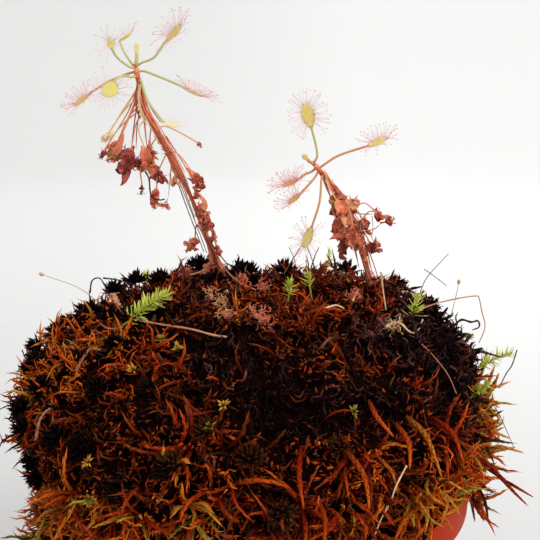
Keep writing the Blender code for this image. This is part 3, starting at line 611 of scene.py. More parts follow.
@dataclass
class Studio:
    """Pale floor that curves up into a round wall, soft lamps and a pale sky; the floor's colour has painted
    shade graded into it and it glows faintly as painted light.
    """

    floor_radius: float = 1400.0
    cove_radius: float = 900.0
    wall_height: float = 2200.0
    sides: int = 96
    shade: float = 0.505
    painted_glow: float = 0.17

    def build(self) -> None:
        """Make the floor, the lamps and the sky."""
        steps = [(0.0, 0.0), (self.floor_radius * 0.5, 0.0), (self.floor_radius, 0.0)]
        for k in range(1, 13):
            turn = math.pi / 2 * k / 12
            steps.append((self.floor_radius + self.cove_radius * math.sin(turn),
                          self.cove_radius * (1.0 - math.cos(turn))))
        steps.append((self.floor_radius + self.cove_radius, self.wall_height))
        points = [(0.0, 0.0, 0.0)]
        for radius, z in steps[1:]:
            for k in range(self.sides):
                turn = math.tau * k / self.sides
                points.append((radius * math.cos(turn), radius * math.sin(turn), z))
        faces = [(0, 1 + k, 1 + (k + 1) % self.sides) for k in range(self.sides)]
        faces += bands(len(steps) - 1, self.sides, 1)
        mesh = bpy.data.meshes.new("floor")
        mesh.from_pydata((np.array(points) * MM).tolist(), [], faces)
        mesh.shade_smooth()
        floor = bpy.data.objects.new("floor", mesh)
        bpy.context.scene.collection.objects.link(floor)
        paint = blank_material("studio_paint")
        tree = paint.node_tree
        place = wired(tree, "ShaderNodeTexCoord").outputs["Object"]
        across = wired(tree, "ShaderNodeSeparateXYZ", {"Vector": place}).outputs["X"]
        away = wired(tree, "ShaderNodeVectorMath", {0: place}, operation="LENGTH").outputs["Value"]
        # Painted shade and light: the floor's colour is darker near the plant and towards -X, lighter far off
        # and towards +X, for uneven light on the backdrop.
        floor_tone_with_painted_shade = self.shade
        for source, start, end, rise in ((away, 0.1, 1.2, 0.19), (across, -0.2, 0.2, 0.09)):
            grade = wired(tree, "ShaderNodeMapRange", {
                "Value": source, "From Min": start, "From Max": end, "To Min": 0.0, "To Max": rise})
            floor_tone_with_painted_shade = maths(tree, "ADD", floor_tone_with_painted_shade, grade.outputs["Result"])
        # The floor's emission is painted light: it glows faintly to brighten the backdrop and the light round
        # the plant.
        feed(tree, tree.nodes["Principled BSDF"], {
            "Base Color": floor_tone_with_painted_shade, "Roughness": 0.9, "Specular IOR Level": 0.1,
            "Emission Color": (1.0, 1.0, 0.98, 1.0), "Emission Strength": self.painted_glow})
        mesh.materials.append(paint)
        self.lamp("key_lamp", (650.0, -700.0, 1050.0), 450.0, 8.5)
        self.lamp("fill_lamp", (-900.0, -500.0, 700.0), 800.0, 1.2)
        self.lamp("top_lamp", (100.0, 300.0, 1500.0), 800.0, 4.5)
        self.lamp("wall_lamp", (150.0, 500.0, 1150.0), 900.0, 9.0, (250.0, 2300.0, 250.0))
        world = bpy.data.worlds.new("sky")
        world.use_nodes = True
        sky = world.node_tree.nodes["Background"]
        sky.inputs["Color"].default_value = (1.0, 1.0, 0.985, 1.0)
        sky.inputs["Strength"].default_value = 0.4
        bpy.context.scene.world = world
        bpy.context.scene.view_settings.view_transform = "Standard"

    def lamp(self, name: str, place: tuple, size: float, watts: float,
             target: tuple = (0.0, 0.0, 140.0)) -> None:
        """Hang one soft square lamp.

        Args:
            name: Lamp name.
            place: Where it hangs, in millimetres.
            size: Its side, in millimetres.
            watts: Its power.
            target: What it faces, the plant unless given.
        """
        light = bpy.data.lights.new(name, "AREA")
        light.size = size * MM
        light.energy = watts
        lamp = bpy.data.objects.new(name, light)
        lamp.location = Vector(place) * MM
        aim = Vector(target) - Vector(place)
        lamp.rotation_euler = aim.to_track_quat("-Z", "Y").to_euler()
        bpy.context.scene.collection.objects.link(lamp)


def settle(piece: bpy.types.Object, slot: str, *nodes: str) -> None:
    """Ride a finished piece on the part, hide the CAD nodes that it stands for and report it.

    Args:
        piece: The finished piece.
        slot: Not used.
        nodes: CAD nodes that it stands for.
    """
    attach(piece, "root")
    if nodes:
        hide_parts(*nodes)
    LOG.info("%s: %d faces", piece.name, len(piece.data.polygons))


@dataclass
class Pot:
    """Tapered nursery pot with a deep rim band and drain holes."""

    height: float = 105.0
    base_radius: float = 47.0
    shoulder_radius: float = 62.6
    rim_radius: float = 68.0
    rim_band: float = 15.0
    rim_taper: float = 1.0
    wall: float = 1.9
    floor: float = 2.4
    drain_holes: int = 6
    drain_radius: float = 4.0
    drain_circle: float = 30.0
    sides: int = 180

    def profile(self) -> list[tuple[float, float]]:
        """Closed section of the pot.

        Returns:
            Points (radius, z) from the middle of the underside round to the middle of the floor.
        """
        foot = self.height - self.rim_band
        rim_foot = self.rim_radius - self.rim_taper
        outline = [(0.0, 0.0), (22.0, 0.0), (38.0, 0.0), (self.base_radius - 1.6, 0.0)]
        outline += self.corner(self.base_radius - 1.2, 1.2, 1.2, -90.0, -8.0, 5)
        for k in range(1, 14):
            share = k / 14
            ripple = 0.06 * math.sin(share * 34.0)
            outline.append((self.base_radius + (self.shoulder_radius - self.base_radius) * share + ripple,
                            foot * share))
        outline += [(self.shoulder_radius, foot - 1.0), (self.shoulder_radius + 0.5, foot - 0.25)]
        outline += [(rim_foot - 0.5, foot - 0.2)]
        outline += self.corner(rim_foot - 0.55, foot + 0.45, 0.65, -80.0, 0.0, 4)
        outline += [(rim_foot + 0.12, foot + 2.0), (rim_foot + 0.55, foot + 8.0)]
        outline += self.corner(self.rim_radius - 0.8, self.height - 0.8, 0.8, 0.0, 90.0, 6)
        inner = self.rim_radius - self.wall
        outline += self.corner(inner + 0.5, self.height - 0.5, 0.5, 90.0, 180.0, 4)
        outline += [(inner - 0.5, foot + 6.0), (rim_foot - self.wall, foot + self.wall)]
        outline += [(self.shoulder_radius - self.wall, foot + self.wall)]
        outline += [(self.base_radius - self.wall, self.floor), (38.0, self.floor), (22.0, self.floor),
                    (0.0, self.floor)]
        return outline

    @staticmethod
    def corner(r: float, z: float, radius: float, start: float, end: float, count: int) -> list:
        """Points of a rounded edge.

        Args:
            r: Radius at which its centre lies.
            z: Height of its centre.
            radius: Edge radius.
            start: First angle in degrees.
            end: Last angle in degrees.
            count: How many points.

        Returns:
            Points (radius, z).
        """
        angles = [math.radians(start + (end - start) * k / (count - 1)) for k in range(count)]
        return [(r + radius * math.cos(a), z + radius * math.sin(a)) for a in angles]

    def build(self) -> None:
        """Make the pot, cut its drain holes and dress it."""
        builder = bmesh.new()
        rings = []
        for radius, z in self.profile():
            if radius == 0.0:
                rings.append([builder.verts.new((0.0, 0.0, z * MM))])
                continue
            rings.append([builder.verts.new((radius * MM * math.cos(math.tau * k / self.sides),
                                             radius * MM * math.sin(math.tau * k / self.sides), z * MM))
                          for k in range(self.sides)])
        for a, b in zip(rings, rings[1:]):
            for k in range(self.sides):
                n = (k + 1) % self.sides
                if len(a) == 1:
                    builder.faces.new((a[0], b[k], b[n]))
                elif len(b) == 1:
                    builder.faces.new((a[k], a[n], b[0]))
                else:
                    builder.faces.new((a[k], a[n], b[n], b[k]))
        bmesh.ops.recalc_face_normals(builder, faces=builder.faces[:])
        mesh = bpy.data.meshes.new("pot_shell")
        builder.to_mesh(mesh)
        builder.free()
        shell = bpy.data.objects.new("pot_shell", mesh)
        bpy.context.scene.collection.objects.link(shell)
        draft = MeshDraft()
        for i in range(self.drain_holes):
            turn = math.tau * (i + 0.5) / self.drain_holes
            x, y = self.drain_circle * math.cos(turn), self.drain_circle * math.sin(turn)
            path = np.array([(x, y, -self.floor), (x, y, 2 * self.floor)])
            radii = np.array([self.drain_radius] * 2)
            draft.tube(path, radii, radii, (1.0, 0.0, 0.0), 40, fade=0.0)
        cutter = draft.to_object("drain_cutter")
        step = shell.modifiers.new("drain", "BOOLEAN")
        step.operation = "DIFFERENCE"
        step.object = cutter
        view = bpy.context.evaluated_depsgraph_get()
        made = bpy.data.meshes.new_from_object(shell.evaluated_get(view))
        shell.modifiers.remove(step)
        shell.data = made
        bpy.data.objects.remove(cutter, do_unlink=True)
        made.materials.clear()
        made.materials.append(self.plastic())
        made.shade_smooth()
        made.set_sharp_from_angle(angle=math.radians(35.0))
        settle(shell, "pot_plastic", "pot")

    @staticmethod
    def plastic() -> bpy.types.Material:
        """Red-orange plastic with faint scuffs and dust.

        Returns:
            The material.
        """
        finish = blank_material("pot_plastic")
        tree = finish.node_tree
        cloud, scuff = speckled(tree, 38.0, 6.0), speckled(tree, 900.0, 3.0)
        red = ramped(tree, ((0.3, (0.36, 0.02, 0.002)), (0.72, (0.5, 0.04, 0.004))), cloud)
        dust = ramped(tree, ((0.62, (0.0, 0.0, 0.0)), (0.8, (0.09, 0.09, 0.09))), scuff)
        blend = wired(tree, "ShaderNodeMix", {"Factor": dust, "A": red, "B": (0.55, 0.14, 0.06, 1.0)},
                      data_type="RGBA")
        gloss = wired(tree, "ShaderNodeMapRange", {"To Min": 0.3, "To Max": 0.52, "Value": cloud})
        bump = wired(tree, "ShaderNodeBump", {"Strength": 0.08, "Distance": 0.0002, "Height": scuff})
        feed(tree, tree.nodes["Principled BSDF"], {
            "Specular IOR Level": 0.05, "IOR": 1.3, "Base Color": blend.outputs["Result"],
            "Roughness": gloss.outputs["Result"], "Normal": bump.outputs["Normal"]})
        return finish


@dataclass
class Medium:
    """Growing medium inside the pot, seen only through the drain holes."""

    def build(self) -> None:
        """Dress the CAD solid with crumbly peat."""
        solid = frame["nodes"]["growing_medium"]
        solid.data.materials.clear()
        solid.data.materials.append(Palette.CORE.build())
        LOG.info("growing_medium: dressed")


@dataclass(frozen=True)
class Patch:
    """One patch of the cushion by its place in the photograph, its shade and what grows there.

    The mix weighs crumb, fine strands, dried flakes, branches and withered ribbons.
    """

    u: float
    v: float
    reach_u: float
    reach_v: float
    tint: float
    spread: float
    mix: tuple


CRUMBLY = (3.0, 0.7, 0.5, 0.02, 0.05)
CURLY = (1.3, 2.2, 0.2, 0.03, 0.0)
FLAKY = (1.3, 0.1, 2.6, 0.0, 0.2)
TANGLED = (0.5, 0.1, 1.6, 0.0, 1.6)
LONG = (1.1, 0.5, 0.1, 1.3, 0.0)

PATCHES = (
    Patch(60, 304, 60, 15, 0.2, 0.14, CRUMBLY), Patch(80, 336, 46, 20, 0.68, 0.08, CURLY),
    Patch(38, 378, 32, 24, 0.67, 0.09, CURLY), Patch(10, 380, 10, 60, 0.16, 0.12, CURLY),
    Patch(30, 445, 30, 25, 0.42, 0.12, CURLY), Patch(135, 352, 30, 18, 0.62, 0.08, CURLY),
    Patch(160, 380, 34, 20, 0.42, 0.14, CURLY), Patch(100, 425, 40, 22, 0.4, 0.14, CURLY),
    Patch(58, 352, 14, 9, 0.14, 0.1, CRUMBLY), Patch(112, 384, 16, 10, 0.16, 0.1, CRUMBLY),
    Patch(62, 402, 14, 10, 0.14, 0.1, CRUMBLY), Patch(140, 410, 16, 10, 0.18, 0.1, CRUMBLY),
    Patch(172, 428, 14, 10, 0.16, 0.1, CRUMBLY), Patch(76, 446, 16, 9, 0.16, 0.1, CRUMBLY),
    Patch(150, 445, 40, 20, 0.47, 0.08, LONG), Patch(195, 400, 30, 20, 0.36, 0.12, CURLY),
    Patch(180, 315, 30, 18, 0.24, 0.12, CRUMBLY), Patch(218, 308, 20, 9, 0.62, 0.12, CRUMBLY),
    Patch(210, 285, 40, 12, 0.36, 0.13, CRUMBLY), Patch(262, 290, 18, 9, 0.5, 0.08, CRUMBLY),
    Patch(300, 312, 40, 12, 0.42, 0.12, CRUMBLY), Patch(345, 292, 30, 16, 0.42, 0.12, CRUMBLY),
    Patch(382, 280, 20, 14, 0.5, 0.08, CRUMBLY), Patch(225, 348, 36, 16, 0.16, 0.12, FLAKY),
    Patch(280, 345, 36, 18, 0.3, 0.1, CRUMBLY), Patch(325, 365, 26, 18, 0.36, 0.12, CRUMBLY),
    Patch(262, 390, 46, 20, 0.15, 0.13, FLAKY), Patch(345, 400, 55, 22, 0.12, 0.13, FLAKY),
    Patch(295, 422, 55, 14, 0.11, 0.12, FLAKY), Patch(400, 370, 32, 16, 0.47, 0.08, CURLY),
    Patch(425, 335, 34, 18, 0.13, 0.12, TANGLED), Patch(462, 372, 28, 36, 0.1, 0.1, TANGLED),
    Patch(385, 325, 18, 10, 0.34, 0.12, TANGLED), Patch(496, 385, 10, 22, 0.78, 0.08, LONG),
    Patch(405, 440, 42, 24, 0.52, 0.12, LONG), Patch(455, 435, 30, 24, 0.4, 0.14, LONG),
    Patch(492, 450, 16, 28, 0.76, 0.1, LONG), Patch(240, 458, 46, 24, 0.43, 0.1, LONG),
    Patch(195, 500, 34, 18, 0.72, 0.1, LONG), Patch(250, 480, 30, 12, 0.6, 0.1, LONG),
    Patch(285, 515, 36, 22, 0.38, 0.12, LONG), Patch(335, 490, 36, 26, 0.62, 0.12, LONG),
    Patch(410, 510, 44, 22, 0.64, 0.12, LONG), Patch(110, 478, 36, 16, 0.3, 0.14, CURLY),
    Patch(88, 515, 44, 16, 0.64, 0.15, LONG), Patch(38, 535, 26, 16, 0.86, 0.1, LONG),
    Patch(260, 620, 200, 60, 0.58, 0.16, LONG),
)


def bell(offset: float, width: float) -> float:
    """Smooth bump that is 1 in the middle and fades over a width."""
    return math.exp(-(offset / width) ** 2)


def gap_deg(heading: float, centre: float) -> float:
    """Degrees from one heading to another, between -180 and 180."""
    return (heading - centre + 180.0) % 360.0 - 180.0


def turn_from(point: Vector, centre: float) -> float:
    """Degrees between a point's heading and a given heading."""
    return gap_deg(math.degrees(math.atan2(point.y, point.x)), centre)


@dataclass
class Cushion:
    """Shape of the moss cushion: its section, its hanging edge and its lumps."""

    profile: tuple = ((0.0, 160.5), (18.0, 160.0), (34.0, 158.4), (54.0, 152.4),
                      (68.6, 141.0), (77.4, 126.0), (76.6, 112.0), (72.8, 98.0))
    heart_z: float = 118.0
    clump_heading: float = 188.0
    clump_width: float = 36.0
    bare_heading: float = 325.0
    flat_heading: float = 352.0
    lean_left: float = 0.04
    lump: float = 2.2
    lump_size: float = 17.0
    fold_z: float = 112.0
    lip_z: float = 93.0
    cuff_radius: float = 68.5
    seat_z: float = 105.3
    plug_radius: float = 64.6
    plug_z: float = 100.0
    clump_size: float = 12.5
    crevice_depth: float = 5.5
    turns: int = 200
    levels: int = 72
    points: np.ndarray = field(init=False)
    corners: np.ndarray = field(init=False)
    tree: BVHTree = field(init=False)

    def __post_init__(self) -> None:
        """Work out the skin as a fine grid of triangles with a search tree."""
        line = smooth_path([(r, 0.0, z) for r, z in self.profile], self.levels)
        rows = []
        for i in range(self.levels):
            for k in range(self.turns):
                rows.append(self.skin(line[i][0], line[i][2], math.tau * k / self.turns))
        self.points = np.array(rows)
        self.corners = np.array([corner for a, c, d, b in bands(self.levels, self.turns)
                                 for corner in ((a, c, b), (b, c, d))])
        self.tree = BVHTree.FromPolygons(self.points.tolist(), self.corners.tolist())

    def lip(self, turn: float) -> float:
        """Height of the hanging edge at a heading."""
        def hang(centre: float, width: float) -> float:
            """Share of a hanging clump at this heading."""
            return bell(gap_deg(math.degrees(turn), centre), width)
        wave = 2.4 * noise.noise(Vector((3.0 * math.cos(turn), 3.0 * math.sin(turn), 7.3)))
        bare_rim = 14.0 * hang(self.bare_heading, 16.0) - 3.0 * hang(self.flat_heading, 10.0)
        return self.lip_z + wave - 21.0 * hang(self.clump_heading, 13.0) - 4.0 * hang(265.0, 30.0) + bare_rim

    def relief(self, point: Vector) -> tuple[float, float]:
        """How far the growth lies under the skin, and how much of a crevice the place is.

        Args:
            point: Place on the skin.

        Returns:
            Depth in millimetres and a share from 0 to 1, by which the growth's tint is darkened there as
            painted shade.
        """
        near, far = noise.voronoi(point / self.clump_size)[0][:2]
        crevice_and_painted_shade = bell(far - near, 0.17)
        from_clump = turn_from(point, self.clump_heading)
        hollow = bell(from_clump, self.clump_width) * 13.0 * bell(point.z - 103.0, 11.0)
        from_flat = turn_from(point, self.flat_heading)
        flat_right = 3.5 * bell(from_flat, 36.0) * bell(point.z - self.heart_z, 26.0)
        dip = 3.0 * bell(point.x, 9.0) * bell(point.y - 16.0, 26.0)
        dip -= 5.0 * bell(point.x - 36.0, 12.0) * bell(point.y - 4.0, 16.0)
        return self.crevice_depth * crevice_and_painted_shade + hollow + flat_right + dip, crevice_and_painted_shade

    def keep_off_rim(self, point: Vector) -> Vector:
        """Push a point that lies beside the pot's rim out of it."""
        flat = math.hypot(point.x, point.y)
        if point.z < self.seat_z + 1.0 and flat < self.cuff_radius + 0.6:
            scale = (self.cuff_radius + 0.6) / flat
            return Vector((point.x * scale, point.y * scale, point.z))
        return point

    def outward(self, point: Vector) -> Vector:
        """Way out from the cushion's heart through a point."""
        return Vector((point.x, point.y, 0.9 * (point.z - self.heart_z))).normalized()

    def skin(self, radius: float, z: float, turn: float) -> tuple:
        """One point of the skin.

        Args:
            radius: Radius in the section.
            z: Height in the section.
            turn: Heading.

        Returns:
            The point in millimetres.
        """
        lean = 1.0 - self.lean_left * math.cos(turn)
        if z < self.fold_z:
            share = (self.fold_z - z) / (self.fold_z - self.profile[-1][1])
            z = self.fold_z - share * (self.fold_z - self.lip(turn))
        point = Vector((radius * lean * math.cos(turn), radius * lean * math.sin(turn), z))
        return tuple(point + self.outward(point) * (self.lump * noise.noise(point / self.lump_size)))

    def hit(self, start: Vector, direction: Vector) -> tuple[Vector, Vector] | None:
        """Where a line meets the skin, and the way out of it there."""
        place, normal, _, _ = self.tree.ray_cast(start, direction.normalized())
        if place is None:
            return None
        return place, normal if normal.dot(direction) < 0.0 else -normal

    def under_pixel(self, sight: Sight, u: float, v: float) -> tuple[Vector, Vector]:
        """Skin point that a pixel of the photograph shows, or the nearest one inward of it."""
        for step in range(60):
            share = step / 60
            found = self.hit(sight.eye, sight.ray(u + (270.0 - u) * share, v + (390.0 - v) * share))
            if found is not None:
                return found
        raise ValueError("no skin under this pixel")

    def above(self, spot: tuple) -> Vector:
        """Skin point straight over a spot (x, y)."""
        return self.hit(Vector((*spot, 220.0)), Vector((0.0, 0.0, -1.0)))[0]

    def sample(self, count: int, seed: int) -> list[tuple[Vector, Vector]]:
        """Points spread evenly over the skin.

        Args:
            count: How many.
            seed: Seed of the draw.

        Returns:
            Each point with its way out of the skin.
        """
        rng = np.random.default_rng(seed)
        a, b, c = (self.points[self.corners[:, k]] for k in range(3))
        normal = np.cross(b - a, c - a)
        area = np.linalg.norm(normal, axis=1)
        pick = rng.choice(len(area), count, p=area / area.sum())
        u, v = rng.random(count), rng.random(count)
        over = u + v > 1.0
        u[over], v[over] = 1.0 - u[over], 1.0 - v[over]
        spots = a[pick] + (b - a)[pick] * u[:, None] + (c - a)[pick] * v[:, None]
        normals = normal[pick] / (area[pick][:, None] + 1e-12)
        inward = np.einsum("ij,ij->i", normals, spots - np.array((0.0, 0.0, self.heart_z))) < 0.0
        normals[inward] *= -1.0
        return [(Vector(spot), Vector(normal)) for spot, normal in zip(spots, normals)]


class Shoots:
    """Unit shoots, each pointing along +Z from the origin, that the moss is grown from."""

    @staticmethod
    def crumb(rng: random.Random) -> MeshDraft:
        """Short pointed moss leaf, curved and thick."""
        draft = MeshDraft()
        bend = rng.uniform(0.3, 1.1)
        tip = np.array((rng.uniform(-0.5, 0.5), bend * 1.7, 1.9))
        draft.spindle(np.zeros(3), np.array((0.0, bend * 0.35, 0.9)), tip, 0.42, 0.14,
                      np.array((0.0, -1.0, 0.2)), 0.6)
        draft.alongs[-5:] = [0.0, 0.5, 0.6, 0.5, 1.0]
        return draft

    @staticmethod
    def fine(rng: random.Random) -> MeshDraft:
        """Thin curling strand with a few leaves along it."""
        curl = rng.uniform(0.8, 2.8)
        path = smooth_path([(0.0, 0.0, 0.0), (rng.uniform(-0.5, 0.5), 0.4, 2.0),
                            (rng.uniform(-1.2, 1.2), curl, 4.0),
                            (rng.uniform(-2.0, 2.0), curl * 1.9, 5.4)], 5)
        radii = np.array([0.34, 0.42, 0.38, 0.26, 0.0])
        draft = MeshDraft().tube(path, radii, radii * 0.6, (0.0, 1.0, 0.0), 3)
        for i in range(4):
            share = 0.15 + 0.2 * i
            place = path[0] * (1 - share) + path[3] * share + np.array((0.0, 0.0, 0.1))
            out = random_unit(rng)
            out.z = abs(out.z) * 0.5 + 0.3
            tip = place + np.array(out.normalized()) * rng.uniform(1.2, 2.1)
            draft.spindle(place, (place + tip) / 2, tip, 0.24, 0.09, np.array((out.y, -out.x, 0.4)),
                          0.3 + 0.18 * i)
        return draft

    @staticmethod
    def branch(rng: random.Random) -> MeshDraft:
        """Tapered branch covered with close scale leaves."""
        draft = MeshDraft()
        side, droop = rng.uniform(-2.6, 2.6), rng.uniform(1.5, 7.5)
        path = smooth_path([(0.0, 0.0, 0.0), (side * 0.5, droop * 0.04, 3.4),
                            (side * rng.uniform(0.7, 1.3), droop * 0.3, 6.8),
                            (side * rng.uniform(0.2, 1.4), droop, 10.8)], 6)
        Shoots.clad(draft, path, np.array([0.42, 0.66, 0.7, 0.56, 0.32, 0.0]), 13, 0.0, rng)
        return draft

    @staticmethod
    def clad(draft: MeshDraft, path: np.ndarray, swell: np.ndarray, count: int, tint: float,
             rng: random.Random) -> None:
        """Add one branch with the scale leaves that lie along it.

        Args:
            draft: Where it is added.
            path: Its centre line.
            swell: Its girth along the line.
            count: How many scale leaves.
            tint: Its shade.
            rng: Source of the draw.
        """
        draft.tube(path, swell * 0.85, swell * 0.66, (0.0, 1.0, 0.0), 4, tint=tint)
        for i in range(count):
            share = 0.03 + 0.84 * i / count
            at = share * (len(path) - 1)
            low = int(at)
            ahead = path[low + 1] - path[low]
            place = path[low] + ahead * (at - low)
            ahead = unit(ahead)
            girth = float(np.interp(share, np.linspace(0.0, 1.0, len(swell)), swell))
            across = unit(np.cross(ahead, (0.0, 1.0, 0.2)))
            out = across * math.cos(i * GOLDEN_TURN) + np.cross(ahead, across) * math.sin(i * GOLDEN_TURN)
            root = place + out * girth * 0.55
            middle = root + ahead * 1.1 + out * (0.03 + girth * 0.06)
            tip = root + ahead * 2.7 + out * girth * rng.uniform(-0.3, 0.14)
            draft.spindle(root, middle, tip, 0.16 + 0.42 * girth, 0.06, out, 0.1 + 0.9 * share)
            draft.tints[-5:] = [tint] * 5

    @staticmethod
    def star(rng: random.Random) -> MeshDraft:
        """Star-shaped head: rings of stubby pointed branchlets round a bud."""
        draft = MeshDraft()
        rings = ((11, 84.0, 4.3), (10, 60.0, 4.2), (8, 36.0, 3.8), (5, 13.0, 3.3))
        for ring, (count, tilt, length) in enumerate(rings):
            for k in range(count):
                turn = math.tau * (k + 0.5 * (ring % 2)) / count + rng.uniform(-0.25, 0.25)
                lean = math.radians(tilt + rng.uniform(-10.0, 10.0))
                size = length * rng.uniform(0.8, 1.15)
                out = np.array((math.cos(turn), math.sin(turn), 0.0))
                way = out * math.sin(lean) + np.array((0.0, 0.0, math.cos(lean)))
                curl = np.array((0.0, 0.0, 0.18 * size))
                path = np.array([way * 0.3, way * size * 0.4, way * size * 0.75 + curl * 0.2,
                                 way * size + curl])
                draft.tube(path, np.array([0.3, 0.56, 0.46, 0.0]), np.array([0.26, 0.38, 0.3, 0.0]),
                           (0.1, 0.0, 1.0), 4)
                for leaf in range(2):
                    root = path[1] + (path[2] - path[1]) * leaf * 0.6
                    swing = np.cross(way, (0.0, 0.1, 1.0)) * (1.0 if leaf else -1.0)
                    tip = root + way * 1.3 + swing * 0.9 + np.array((0.0, 0.0, 0.3))
                    draft.spindle(root, (root + tip) / 2, tip, 0.28, 0.12, np.array((0.0, 0.1, 1.0)), 0.6)
        return draft

    @staticmethod
    def flake(rng: random.Random) -> MeshDraft:
        """Curled dried leaf, flat and narrow."""
        curl, twist = rng.uniform(0.6, 1.8), rng.uniform(-1.0, 1.0)
        path = smooth_path([(0.0, 0.0, 0.0), (twist * 0.4, curl * 0.6, 1.4), (twist, curl * 0.7, 2.7),
                            (twist * 1.2, curl * 0.2, 3.9)], 4)
        return MeshDraft().tube(path, np.array([0.2, 0.42, 0.36, 0.0]), np.array([0.08, 0.1, 0.08, 0.0]),
                                (twist, 1.0, 0.2), 3)

    @staticmethod
    def ribbon(rng: random.Random) -> MeshDraft:
        """Long withered leaf, twisted and bent."""
        path = smooth_path([(0.0, 0.0, 0.0)] + [
            (rng.uniform(-2.6, 2.6), rng.uniform(-2.2, 2.2), 2.0 * k) for k in range(1, 5)], 8)
        widths = np.array([0.24, 0.4, 0.62, 0.5, 0.66, 0.46, 0.3, 0.0])
        return MeshDraft().tube(path, widths, np.full(8, 0.16), (rng.uniform(-1, 1), 1.0, 0.3), 4, 0.5)


@dataclass(frozen=True)
class Habit:
    """One sort of growth: its shoots, its finish, how far it lifts off the skin, its lean and its sizes.

    The lean holds the shares of the way out, down and in a drawn way. Branches spread from one root instead:
    theirs holds the least and the most share of the way out, and the share of the way sideways.
    """

    name: str
    shoot: Callable
    kinds: int
    finish: Palette
    lift: float
    lean: tuple
    sizes: tuple


HABITS = (
    Habit("moss_crumb", Shoots.crumb, 5, Palette.MOSS, 0.0, (0.55, 0.2, 0.9), (0.7, 1.45)),
    Habit("moss_fine_strands", Shoots.fine, 6, Palette.MOSS, -0.8, (0.6, 0.5, 1.0), (0.8, 1.5)),
    Habit("moss_dark_flakes", Shoots.flake, 6, Palette.DRIED, 0.0, (0.35, 0.15, 1.0), (0.5, 1.3)),
    Habit("moss_branches", Shoots.branch, 8, Palette.MOSS, -1.0, (0.3, 0.9, 0.9), (0.7, 1.4)),
    Habit("moss_withered_tangle", Shoots.ribbon, 6, Palette.DRIED, 1.0, (0.3, 0.1, 1.0), (0.4, 0.9)),
)


